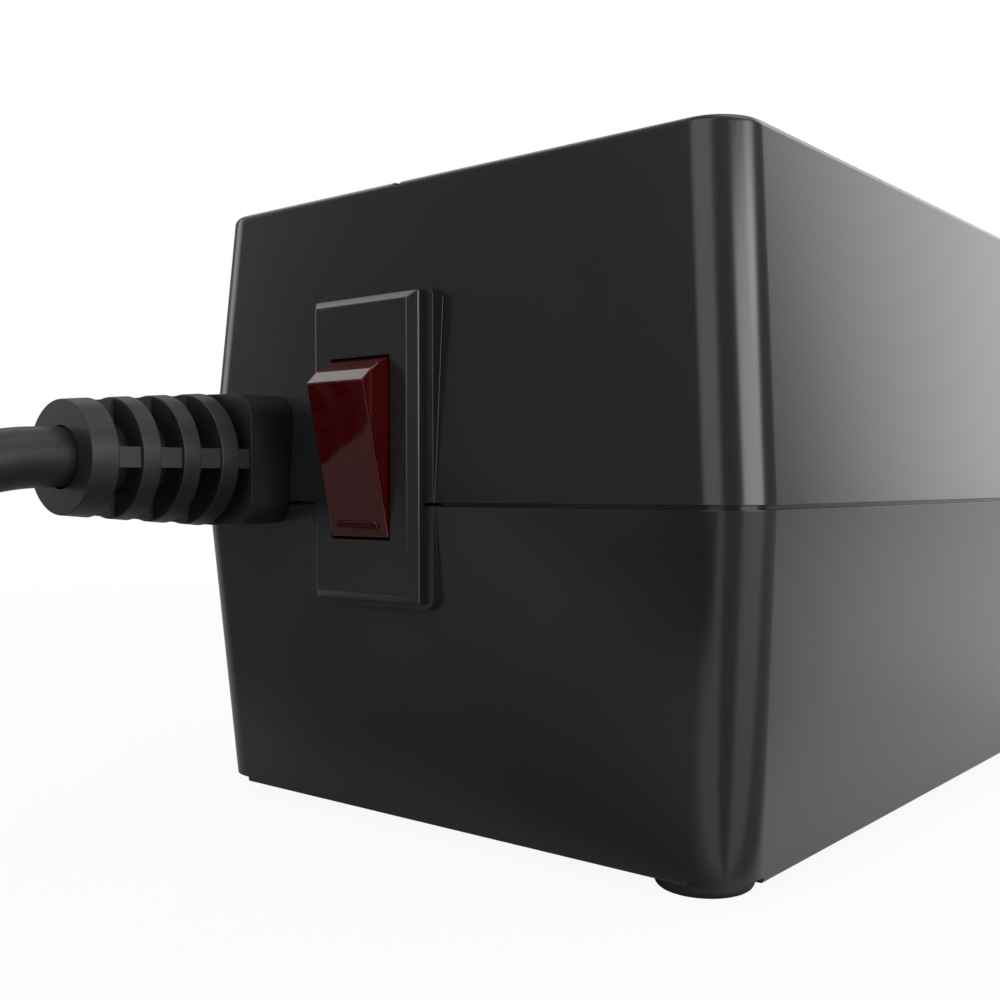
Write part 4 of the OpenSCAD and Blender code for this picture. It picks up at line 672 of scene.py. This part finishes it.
# the two halves of the case; a row of receptacles is its place along Y and its turn
footPlaces = [(-64.848, -37.6), (-59.348, 37.6), (72.152, -37.6), (72.152, 37.6)]
screwPlaces = [footPlaces[0], footPlaces[2], footPlaces[3], (-46.348, 40.5)]
rows = [(-14.45, 180), (28.55, 0)]
columns = (-45.848, -12.848, 20.152, 53.152)
lensPlaces = [(-44.348, -38.3), (-32.348, -38.3), (-20.348, -38.3)]
trayScrews = [(x + 16.5, y + (5.5 if turn else -5.5)) for y, turn in rows for x in columns[:3]]
lampScrews = [(-51.348, -38.3), (-13.348, -38.3)]
padSizes = {
    "out": 0.3, "in": 4.7, "near": 11.8, "farUp": 10.3, "farLow": 12.35, "half": 22.15, "corner": 1.8, "bevel": 0.12,
    "seamOut": 0.08, "seamRound": 0.05, "seamCorner": 2, "seamEnds": (-3, 5), "seamFront": 3.2,
}


def leaningBox(name, inset, start, end, corner):
    height = case["topHeight"] if end > start else case["bottomHeight"]
    halves = lambda z: (case["length"]/2 - inset - case["endLean"]*abs(z - case["parting"])/height,
                        case["width"]/2 - inset - case["sideLean"]*abs(z - case["parting"])/height)
    (longStart, wideStart), (longEnd, wideEnd) = halves(start), halves(end)
    x = case["middleX"]
    piece = addBox(name, (x - longStart, -wideStart, min(start, end)), (x + longStart, wideStart, max(start, end)))
    taper(piece, lambda face: lies(face, 2, end), (longEnd/longStart, wideEnd/wideStart, 1), (x, 0, end))
    bevelEdges(piece, lambda edge: climbs(edge, 2, 1), corner, case["cornerSegments"])
    return piece


def flatSlab(name, inset, low, high, corner):
    x, half, wide = case["middleX"], case["length"]/2 - inset, case["width"]/2 - inset
    return roundBar(name, (x - half, -wide, low), (x + half, wide, high), corner, 2, 12)


def switchPad(far, low, high, sizes=padSizes):
    x, y, z = switchMiddle
    front = x - sizes["out"]
    pad = roundBar("pad", (front, y - sizes["near"], z - sizes["half"]), (x + sizes["in"], y + far, z + sizes["half"]),
                   sizes["corner"], 0, 8)
    bevelEdges(pad, lambda edge: lies(edge, 0, front), sizes["bevel"], 2)
    if low:
        cutAway(pad, (0, 0, low), (0, 0, -1))
    if high:
        cutAway(pad, (0, 0, high), (0, 0, 1))
    return pad


# the pad's outline shows as a thin raised line on the wall
def padSeam(far, start, end, sizes=padSizes):
    x, y, z = switchMiddle
    rounding, reach = sizes["seamRound"], sizes["half"] + sizes["seamRound"]
    seam = leaningBox("seam", -sizes["seamOut"], start, end, case["corner"])
    outline = roundBar("outline", (x + sizes["seamEnds"][0], y - sizes["near"] - rounding, z - reach),
                       (x + sizes["seamEnds"][1], y + far + rounding, z + reach), sizes["seamCorner"], 0, 8)
    combine(seam, [outline], "INTERSECT")
    bevelEdges(seam, lambda edge: edge.calc_face_angle(0) > 1 and all(v.co.x < x + sizes["seamFront"] for v in edge.verts)
               and any(face.normal.x < -0.9 for face in edge.link_faces) and not lies(edge, 2, start), sizes["bevel"], 2)
    return seam


# the openings of switch and strain relief in the wall: start and end along X, width and height
wallSizes = {"switch": (-1.3, 9, 14.7, 29.54), "relief": (-1, 7, 15.3, 15.3)}


def wallHoles(sizes):
    holes = []
    for key, middle in (("switch", switchMiddle), ("relief", reliefMiddle)):
        start, end, wide, high = sizes[key]
        holes.append(addPanelBlock("hole", middle.x + start, middle.x + end, middle, wide, high))
    return holes


# a leaning box with its far edge rounded, cut at the parting line and hollowed
def halfShell(name, side, end, inside, rounding, segments):
    line = case["parting"] + side*case["line"]
    shell = leaningBox(name, 0, case["parting"], end, case["corner"])
    bevelEdges(shell, lambda edge: lies(edge, 2, end), rounding, segments)
    cutAway(shell, (0, 0, line), (0, 0, -side))
    bevelEdges(shell, lambda edge: lies(edge, 2, line), case["lip"], 2)
    hollow = leaningBox("hollow", case["wall"], case["parting"], inside, case["corner"] - case["wall"])
    return combine(shell, [hollow], "DIFFERENCE"), line


def addPad(shell, far, line, end, low, high):
    combine(shell, [padSeam(far, line, end)], "UNION")
    combine(shell, [switchPad(far, low, high)], "UNION")


# bosses and bores: radius, low end, high end
upperSizes = {
    "rebate": (1.0, 40, 5.4), "rebateOver": 2, "windowWide": 25.7, "windowHigh": 27.3, "windowRound": 2,
    "cutLow": 88, "cutTop": 94, "lensHole": 2.35, "groove": 0.7, "groovePlace": (7.05, 92.225),
    "screwBoss": 4, "bossTop": 90.5, "cordBossTop": 64.9, "web": (-47.848, -44.848, 40.5, 47.4),
    "screwBore": (1.75, 40, 61.2),
    "trayBoss": (2.4, 74.4), "trayBore": (1.25, 73, 79.7), "lampBoss": (2.4, 81.4), "lampBore": (1.25, 80, 87.4),
}


def modelUpperShell(sizes):
    shell, line = halfShell("upper", 1, case["top"], case["roof"], case["topRound"], 5)
    inset, low, corner = sizes["rebate"]
    combine(shell, [flatSlab("rebate", inset, low, case["parting"] + sizes["rebateOver"], corner)], "DIFFERENCE")
    addPad(shell, padSizes["farUp"], line, case["top"], line, None)
    low, top, wide, high = sizes["cutLow"], sizes["cutTop"], sizes["windowWide"]/2, sizes["windowHigh"]/2
    windows = [roundBar("window", (x - wide, y - high, low), (x + wide, y + high, top), sizes["windowRound"], 2, 8)
               for y, turn in rows for x in columns]
    lights = addRods("light hole", sizes["lensHole"], low, top, lensPlaces)
    groove = addRod("groove", sizes["groove"], case["panelX"] - 1, case["panelX"] + case["length"] + 1,
                    sizes["groovePlace"], 0, 32)
    combine(shell, [*wallHoles(wallSizes), *windows, *lights, groove], "DIFFERENCE")
    top, (webStart, webEnd, webNear, webFar) = sizes["bossTop"], sizes["web"]
    bosses = addRods("boss", sizes["screwBoss"], line, top, screwPlaces[:3])
    bosses.append(addRod("boss", sizes["screwBoss"], line, sizes["cordBossTop"], screwPlaces[3]))
    bosses.append(addBox("web", (webStart, webNear, line), (webEnd, webFar, sizes["cordBossTop"])))
    bosses += addRods("boss", *sizes["trayBoss"], top, trayScrews, 32)
    bosses += addRods("boss", *sizes["lampBoss"], top, lampScrews, 32)
    combine(shell, bosses, "UNION", overlaps=True)
    bores = addRods("bore", *sizes["screwBore"], screwPlaces, 32)
    bores += addRods("bore", *sizes["trayBore"], trayScrews, 24) + addRods("bore", *sizes["lampBore"], lampScrews, 24)
    combine(shell, bores, "DIFFERENCE")
    return finishPiece(shell, "upperShell", "case", "case", ["upper_shell"])


# posts carry the control board in front and the transformer behind it
lowerSizes = {
    "rim": 0.35, "tongue": (1.15, 44.9, 48.9, 5.25), "tongueHollow": (2.25, 44, 50, 4.15), "recessLow": 1.4,
    "recessCorner": 3.9,
    "notch": 3.85, "notchTop": 3.15, "notchX": 74.25, "notchY": 43.75, "screwBoss": (4.6, 4.2), "bossOver": 0.25,
    "footBoss": (4.6, 4.2, 9.9), "socket": (3.45, 2, 34.9), "footSocket": (3.45, 2, 7.4), "screwBore": (1.85, 34, 48),
    "boardX": (22, 86), "boardY": (-27, 27), "boardPost": (3, 4.85, 12.1), "boardBore": (1.25, 6.1, 13),
    "coreX": 122, "coreY": (-38.7, 38.7), "corePost": (4, 4.85, 12.1), "coreBore": (1.95, 4.85, 13),
    "ribX": (107, 137), "rib": (2, 62, 4.85, 12.1),
}


def modelLowerShell(sizes):
    shell, line = halfShell("lower", -1, case["skirt"], case["floorInside"], sizes["rim"], 3)
    tongue = flatSlab("tongue", *sizes["tongue"])
    combine(tongue, [flatSlab("tongue hollow", *sizes["tongueHollow"])], "DIFFERENCE")
    combine(shell, [tongue], "UNION")
    addPad(shell, padSizes["farLow"], line, case["skirt"], None, line)
    x, half = case["middleX"], case["length"]/2 - case["endLean"] - case["wall"]
    wide, low, notch = case["width"]/2 - case["sideLean"] - case["wall"], sizes["recessLow"], sizes["notch"]
    recess = roundBar("recess", (x - half, -wide, low), (x + half, wide, case["floor"]), sizes["recessCorner"], 2, 10)
    combine(shell, [recess], "DIFFERENCE")
    notches = [addBox("notch", (x + a - notch, b - notch, low), (x + a + notch, b + notch, sizes["notchTop"]))
               for a in (-sizes["notchX"], sizes["notchX"]) for b in (-sizes["notchY"], sizes["notchY"])]
    combine(shell, [*notches, *wallHoles(wallSizes)], "DIFFERENCE")
    panel, (ribWide, ribLong, ribLow, ribTop) = case["panelX"], sizes["rib"]
    boardPosts = [(panel + x, y) for x in sizes["boardX"] for y in sizes["boardY"]]
    corePosts = [(panel + sizes["coreX"], y) for y in sizes["coreY"]]
    bosses = addRods("boss", *sizes["screwBoss"], case["parting"] + sizes["bossOver"], screwPlaces)
    bosses.append(addRod("boss", *sizes["footBoss"], footPlaces[1]))
    bosses += addRods("post", *sizes["boardPost"], boardPosts, 32) + addRods("post", *sizes["corePost"], corePosts, 32)
    bosses += [addBox("rib", (panel + x - ribWide/2, -ribLong/2, ribLow), (panel + x + ribWide/2, ribLong/2, ribTop))
               for x in sizes["ribX"]]
    combine(shell, bosses, "UNION", overlaps=True)
    bores = addRods("socket", *sizes["socket"], screwPlaces)
    bores.append(addRod("socket", *sizes["footSocket"], footPlaces[1]))
    bores += addRods("bore", *sizes["boardBore"], boardPosts, 24) + addRods("bore", *sizes["coreBore"], corePosts, 24)
    combine(shell, bores, "DIFFERENCE")
    combine(shell, addRods("bore", *sizes["screwBore"], screwPlaces, 32), "DIFFERENCE")
    return finishPiece(shell, "lowerShell", "case", "case", ["lower_shell"])


upperShell = modelUpperShell(upperSizes)
lowerShell = modelLowerShell(lowerSizes)
print("case made:", len(upperShell.data.polygons), len(lowerShell.data.polygons))


# switch: chamfered frame, round seat and the rocker
switchSizes = {
    "width": 20.4, "height": 42.5, "out": 2.5, "side": 1.0, "pad": 0.3, "bevel": 1.2, "line": 0.2,
    "openingWidth": 11.6, "seatRadius": 13.52, "pivotIn": 2.4, "seatFloor": 5.5, "bodyWidth": 14.4, "bodyHeight": 29.24,
    "bodyIn": 0.7, "depth": 17, "chamberWidth": 10, "chamberHeight": 22.4, "chamberEnd": 15, "trunnion": 1.55,
    "trunnionReach": 8, "terminalWide": 6.4, "terminalThick": 0.9, "terminalStep": 9, "mouth": (6, 13), "mouthLine": 0.12,
}
rockerSizes = {
    "radius": 13.27, "face": 7.545, "bevelAngle": 65.1, "endAngle": 55.35, "skirt": 1.5, "width": 11.2, "edge": 0.28,
    "wall": 1.2, "hub": 2.9, "trunnion": 1.5, "trunnionOut": 0.9, "stem": 2.1, "stemBore": 1.25, "stemEnd": 3.2,
    "boreEnds": (-4.5, 4.2), "hubIn": 0.4, "pocketEnd": 11.2, "tilt": 12.7, "markLength": 8.3, "markHeight": 1.2,
    "markLine": 0.36, "markOut": 0.3, "markDown": 9.2, "markEdge": 0.13, "markCut": (-9, -6), "hair": 0.001,
}


def modelSwitchFrame(sizes):
    x, y, z = switchMiddle
    wide, high = sizes["width"]/2, sizes["height"]/2
    start, front, pivot = x - sizes["pad"] - sizes["side"], x - sizes["out"], x + sizes["pivotIn"]
    bezel = addBox("frame", (start, y - wide, z - high), (x - sizes["pad"], y + wide, z + high))
    startEdit(bezel)
    pick("FACE", lambda face: face.normal.x < -0.9)
    pushOut((front - start, 0, 0), (1, (wide - sizes["bevel"])/wide, (high - sizes["bevel"])/high), (front, y, z))
    endEdit()
    bevelEdges(bezel, lambda edge: lies(edge, 0, front) or lies(edge, 0, start) or climbs(edge, 0, 0.1), sizes["line"], 2)
    box = addPanelBlock("box", x - sizes["bodyIn"], x + sizes["depth"], switchMiddle,
                        sizes["bodyWidth"], sizes["bodyHeight"])
    combine(bezel, [box], "UNION")
    seat = addRod("seat", sizes["seatRadius"], y - sizes["openingWidth"]/2, y + sizes["openingWidth"]/2,
                  (pivot, z), 1, 160)
    cutAway(seat, (x + sizes["seatFloor"], 0, 0), (1, 0, 0))
    combine(bezel, [seat], "DIFFERENCE")
    chamber = addPanelBlock("chamber", x + sizes["seatFloor"] - 1, x + sizes["chamberEnd"], switchMiddle,
                            sizes["chamberWidth"], sizes["chamberHeight"])
    combine(bezel, [chamber], "DIFFERENCE")
    reach = sizes["trunnionReach"]
    holes = [addRod("trunnion hole", sizes["trunnion"], y - reach, y + reach, (pivot, z), 1, 32)]
    holes += [addPanelBlock("terminal hole", x + sizes["chamberEnd"] - 1, x + sizes["depth"] + 1,
                            (x, y, z + k*sizes["terminalStep"]), sizes["terminalWide"], sizes["terminalThick"])
              for k in (-1, 0, 1)]
    combine(bezel, holes, "DIFFERENCE")
    inMouth = lambda place: abs(place.y - y) < sizes["mouth"][0] and abs(place.z - z) < sizes["mouth"][1]
    bevelEdges(bezel, lambda edge: lies(edge, 0, front) and all(inMouth(v.co) for v in edge.verts), sizes["mouthLine"], 2)
    return finishPiece(bezel, "switchFrame", "case", "switch_plastic", ["switch_housing"])


# drawn level about its pivot, outwards along -X, then tilted into place
def modelRocker(sizes):
    half, wall, hub, face = sizes["width"]/2, sizes["wall"], sizes["hub"], -sizes["face"]
    rocker = addRod("rocker", sizes["radius"], -half, half, (0, 0), 1, 180)
    high, low = (Vector((-math.cos(angle), 0, math.sin(angle)))*sizes["radius"]
                 for angle in (math.radians(sizes["endAngle"]), math.radians(sizes["bevelAngle"])))
    slope = (low - high).normalized()
    cutAway(rocker, (face, 0, 0), (-1, 0, 0))
    cutAway(rocker, (-sizes["skirt"], 0, 0), (1, 0, 0))
    cutAway(rocker, high, (-slope.z, 0, slope.x))
    cutAway(rocker, (high.x, 0, -high.z), (-slope.z, 0, -slope.x))
    end = sizes["pocketEnd"]
    pockets = [addBox("pocket", (face + wall, wall - half, a), (0, half - wall, b)) for a, b in ((hub, end), (-end, -hub))]
    combine(rocker, pockets, "DIFFERENCE")
    middle = addRod("hub", hub, sizes["hubIn"] - half, half - sizes["hubIn"], (0, 0), 1, 48)
    pin = addRod("trunnions", sizes["trunnion"], -half - sizes["trunnionOut"], half + sizes["trunnionOut"], (0, 0), 1, 32)
    stem = addRod("stem", sizes["stem"], 0, sizes["stemEnd"], (0, 0), 0, 32)
    combine(rocker, [middle, pin, stem], "UNION", overlaps=True)
    down, long, thin = -sizes["markDown"], sizes["markLength"]/2, sizes["markHeight"]/2
    front, inner = face - sizes["markOut"], thin - sizes["markLine"]
    mark = roundBar("mark", (front, -long, down - thin), (face + 0.5, long, down + thin), thin - sizes["hair"], 0, 8)
    (cutStart, cutEnd), short = sizes["markCut"], long - sizes["markLine"]
    inside = roundBar("mark inside", (cutStart, -short, down - inner), (cutEnd, short, down + inner),
                      inner - sizes["hair"], 0, 8)
    combine(mark, [inside], "DIFFERENCE")
    bevelEdges(mark, lambda edge: lies(edge, 0, front), sizes["markEdge"], 3)
    combine(rocker, [mark], "UNION")
    combine(rocker, [addRod("spring bore", sizes["stemBore"], *sizes["boreEnds"], (0, 0), 0, 32)], "DIFFERENCE")
    bevelEdges(rocker, lambda edge: edge.calc_face_angle(0) > math.radians(20) and min(v.co.x for v in edge.verts) < -2.0
               and liesEitherSide(edge, 1, half), sizes["edge"], 3)
    pivot = (switchMiddle.x + switchSizes["pivotIn"], switchMiddle.y, switchMiddle.z)
    moved(rocker, pivot, (0, -sizes["tilt"], 0))
    return finishPiece(rocker, "rockerButton", "rocker", "rocker_plastic", ["rocker"], angle=28)


modelSwitchFrame(switchSizes)
modelRocker(rockerSizes)
print("switch made")


# receptacles, lenses and feet
receptacleSizes = {
    "width": 25.4, "height": 27, "top": 92.0, "round": 2, "edge": 0.3, "slotEdge": 0.25, "faceThick": 5,
    "flangeTop": 89.9, "flangeLow": 88.3, "flangeRim": 1.2, "bodyRim": 0.8, "bodyLow": 74.4,
    "slotLine": -5.5, "gap": 12.7, "thin": 2.2, "live": 7.2, "neutral": 8.4, "ground": 11.9, "groundRadius": 2.6,
    "hollow": (1.85, 3.8), "strip": (15, 4.6, 0.7, 5.3), "bodyUnder": 0.8, "mouth": (9, 10),
}


def modelReceptacle(sizes):
    wide, high, rim, inset = sizes["width"]/2, sizes["height"]/2, sizes["flangeRim"], sizes["bodyRim"]
    top, shoulder, low = sizes["top"], sizes["flangeLow"], sizes["bodyLow"]
    under = top - sizes["faceThick"]
    face = roundBar("face", (-wide, -high, shoulder), (wide, high, top), sizes["round"])
    bevelEdges(face, lambda edge: lies(edge, 2, top), sizes["edge"], 3)
    flange = roundBar("flange", (-wide - rim, -high - rim, shoulder), (wide + rim, high + rim, sizes["flangeTop"]),
                      sizes["round"])
    body = addBox("body", (inset - wide, inset - high, low),
                  (wide - inset, high - inset, sizes["flangeTop"] - sizes["bodyUnder"]))
    combine(face, [flange, body], "UNION", overlaps=True)
    cuts = []
    hollowWide, hollowLong = sizes["hollow"]
    stripLong, stripOff, stripThin, stripHigh = sizes["strip"]
    for side, long in ((-1, sizes["live"]), (1, sizes["neutral"])):
        x, y, thin = side*sizes["gap"]/2, sizes["slotLine"], sizes["thin"]/2
        way = y + side*stripOff
        cuts.append(addBox("slot", (x - thin, y - long/2, under - 1), (x + thin, y + long/2, top + 1)))
        cuts.append(addBox("hollow", (x - hollowWide, y - hollowLong, low - 1), (x + hollowWide, y + hollowLong, under)))
        cuts.append(addBox("strip way", (-stripLong, way - stripThin, low - 1),
                           (stripLong, way + stripThin, low + stripHigh)))
    cuts.append(addRod("ground hole", sizes["groundRadius"], low - 1, top + 1, (0, sizes["slotLine"] + sizes["ground"])))
    combine(face, cuts, "DIFFERENCE", overlaps=True)
    inMouth = lambda place: abs(place.x) < sizes["mouth"][0] and abs(place.y) < sizes["mouth"][1]
    bevelEdges(face, lambda edge: lies(edge, 2, top) and all(inMouth(v.co) for v in edge.verts), sizes["slotEdge"], 2)
    return face


receptacle = modelReceptacle(receptacleSizes)
for number, (x, y, turn) in enumerate([(x, y, turn) for y, turn in rows for x in columns], 1):
    piece = moved(copied(receptacle, f"receptacle{number}"), (x, y, 0), (0, 0, turn))
    finishPiece(piece, f"outlet{number}", "case", "trim", [f"receptacle_{number}"])
bpy.data.objects.remove(receptacle)

# lenses and feet are turned: height and radius at each step
lensSteps = [
    (86.4, 3.1), (86.6, 3.4), (89.7, 3.4), (89.9, 3.2), (89.9, 2.2), (92.3, 2.2), (92.5, 2.1),
    (92.62, 1.8), (92.68, 1.2), (92.7, 0.5),
]
footSizes = {"radius": 6.2, "rounding": 0.9, "height": 3.6, "edge": 0.25, "stem": 3.4, "top": 7.1}


def footSteps(sizes):
    steps = [(0, 4.9), (0.02, 5.3)]
    for turn in (15, 30, 45, 60, 75, 90):
        a = math.radians(turn)
        steps.append((sizes["rounding"]*(1 - math.cos(a)), sizes["radius"] - sizes["rounding"]*(1 - math.sin(a))))
    steps += [(sizes["height"] - sizes["edge"], sizes["radius"]), (sizes["height"], sizes["radius"] - sizes["edge"])]
    return steps + [(sizes["height"], sizes["stem"]), (sizes["top"], sizes["stem"])]


def modelTurnedSet(steps, sides, places, name, slot, node):
    first = turned("first", steps, sides)
    pieces = [moved(copied(first, "copy"), (*place, 0)) for place in places]
    bpy.data.objects.remove(first)
    finishPiece(joined(pieces), name, "case", slot, [node], angle=45)


modelTurnedSet(lensSteps, 48, lensPlaces, "indicatorLenses", "lens_plastic", "indicator_lenses")
modelTurnedSet(footSteps(footSizes), 64, footPlaces, "rubberFeet", "foot_rubber", "rubber_feet")
print("receptacles, lenses and feet made")


# floor, lamps and white surround
studio = {
    "floorSize": 12, "floorUnder": 0.0001, "pivot": (-0.076, -0.05),
    "shadowShare": 0.07, "shadowStart": 0.2, "shadowEnd": 0.6,
    "mottle": 9, "paper": (0.80, 0.80, 0.80), "paler": (0.84, 0.84, 0.84),
    "surround": 0.20, "zenith": 0.36, "riseStart": 0.22, "riseEnd": 0.7, "middle": (-0.03, -0.02),
}
# painted light and shade on the floor, seen only in reflections and bounced light: how pale it lies by direction from
# the near corner, in degrees round from +X; the dark stretches stand in for the floor's shadow and dark flags, the pale
# ones for lit floor
floorPaintedShades = [
    (0, 1.00), (25, 0.80), (50, 0.50), (96, 0.55), (108, 0.20), (126, 0.25), (138, 0.42), (152, 0.58), (162, 1.00),
    (198, 1.00), (207, 0.22), (236, 0.22), (247, 1.00), (286, 1.00), (297, 0.28), (325, 0.32), (333, 0.42), (341, 1.00),
    (360, 1.00),
]


def makeFloor(look):
    deselectAll()
    bpy.ops.mesh.primitive_plane_add(size=look["floorSize"], location=(0, 0, -look["floorUnder"]))
    floor = settle(bpy.context.object, "floor")
    finish = Finish("floor")
    place = finish.place()
    reach = finish.addNode("ShaderNodeVectorMath", {"operation": "LENGTH"}, {0: place}, out="Value")
    east = finish.along(place, "X") - look["pivot"][0]
    north = finish.along(place, "Y") - look["pivot"][1]
    turn = (finish.addNode("ShaderNodeMath", {"operation": "ARCTAN2"}, {0: north, 1: east})/(2*math.pi)).whole()
    stops = [(angle/360, (level,)*3) for angle, level in floorPaintedShades]
    # painted light and shade: the floor's colour set by direction from the near corner, shown to every ray but the
    # camera's and the transmitted ones
    paintedFloorShade = finish.addNode("ShaderNodeValToRGB", {"stops": stops}, {"Fac": turn}, out="Color")
    paper = finish.mixed(finish.noise(place, look["mottle"], detail=3.0), look["paper"], look["paler"])
    around = finish.addNode("ShaderNodeBsdfDiffuse", {}, {"Color": paintedFloorShade})
    plain = finish.addNode("ShaderNodeBsdfDiffuse", {}, {"Color": paper})
    bright = finish.addNode("ShaderNodeEmission", {}, {"Color": (1.0, 1.0, 1.0), "Strength": 1.0})
    share = 1 - look["shadowShare"] + finish.ramp(reach, look["shadowStart"], look["shadowEnd"])*look["shadowShare"]
    seen = finish.addNode("ShaderNodeMixShader", {}, {0: share, 1: plain, 2: bright})
    shown = finish.addNode("ShaderNodeMixShader", {}, {0: finish.seenRays(), 1: around, 2: seen})
    finish.addNode("ShaderNodeOutputMaterial", {}, {"Surface": shown})
    floor.data.materials.append(finish.material)


def addSoftbox(name, place, aim, wide, tall, radiance):
    bpy.ops.object.light_add(type="AREA", location=place)
    lamp = bpy.context.object
    lamp.name = name
    lamp.data.shape = "RECTANGLE"
    lamp.data.size, lamp.data.size_y = wide, tall
    lamp.data.energy = 4*radiance*wide*tall  # what makes the lamp's face that bright
    lamp.rotation_euler = (Vector(aim) - Vector(place)).to_track_quat("-Z", "Y").to_euler()
    lamp.visible_camera = False


# a place round the case: degrees round from +X, metres away and metres up
def aroundCase(azimuth, distance, height):
    (x, y), angle = studio["middle"], math.radians(azimuth)
    return (x + distance*math.cos(angle), y + distance*math.sin(angle), height)


def lightSurround(look):
    world = bpy.data.worlds.new("surround")
    bpy.context.scene.world = world
    world.use_nodes = True
    finish = Finish("surround", world.node_tree)
    way = finish.addNode("ShaderNodeTexCoord", out="Generated")
    rise = finish.ramp(finish.along(way, "Z"), look["riseStart"], look["riseEnd"])
    rays = finish.seenRays()
    level = rise*(look["zenith"] - look["surround"]) + look["surround"]
    strength = rays + (1 - rays)*level
    light = finish.addNode("ShaderNodeBackground", {}, {"Color": (1.0, 1.0, 1.0), "Strength": strength})
    finish.addNode("ShaderNodeOutputWorld", {}, {"Surface": light})


makeFloor(studio)
lightSurround(studio)
# lamps: where they hang, what they face, width, height and brightness
middle = (0, 0, 0.05)
addSoftbox("side wall", aroundCase(-10, 1.2, 0.55), middle, 0.72, 1.1, 1.33)
addSoftbox("left strip", aroundCase(179.5, 1.2, 0.75), middle, 0.99, 1.5, 1.2)
addSoftbox("front strip", aroundCase(-95, 1.2, 0.33), middle, 1.0, 0.55, 3.9)
addSoftbox("back strip", aroundCase(108, 1.2, 0.38), middle, 0.5, 0.65, 1.4)
addSoftbox("high card", aroundCase(75, 0.93, 1.05), middle, 0.95, 0.55, 0.84)
addSoftbox("floor wash", (0.10, -0.52, 0.34), (0.20, -0.11, 0), 0.24, 0.26, 1.9)
addSoftbox("roof", (0.38, -0.36, 1.25), (0.34, -0.16, 0), 0.9, 0.9, 1.0)
bpy.context.scene.view_settings.view_transform = "Standard"

print("stage set")
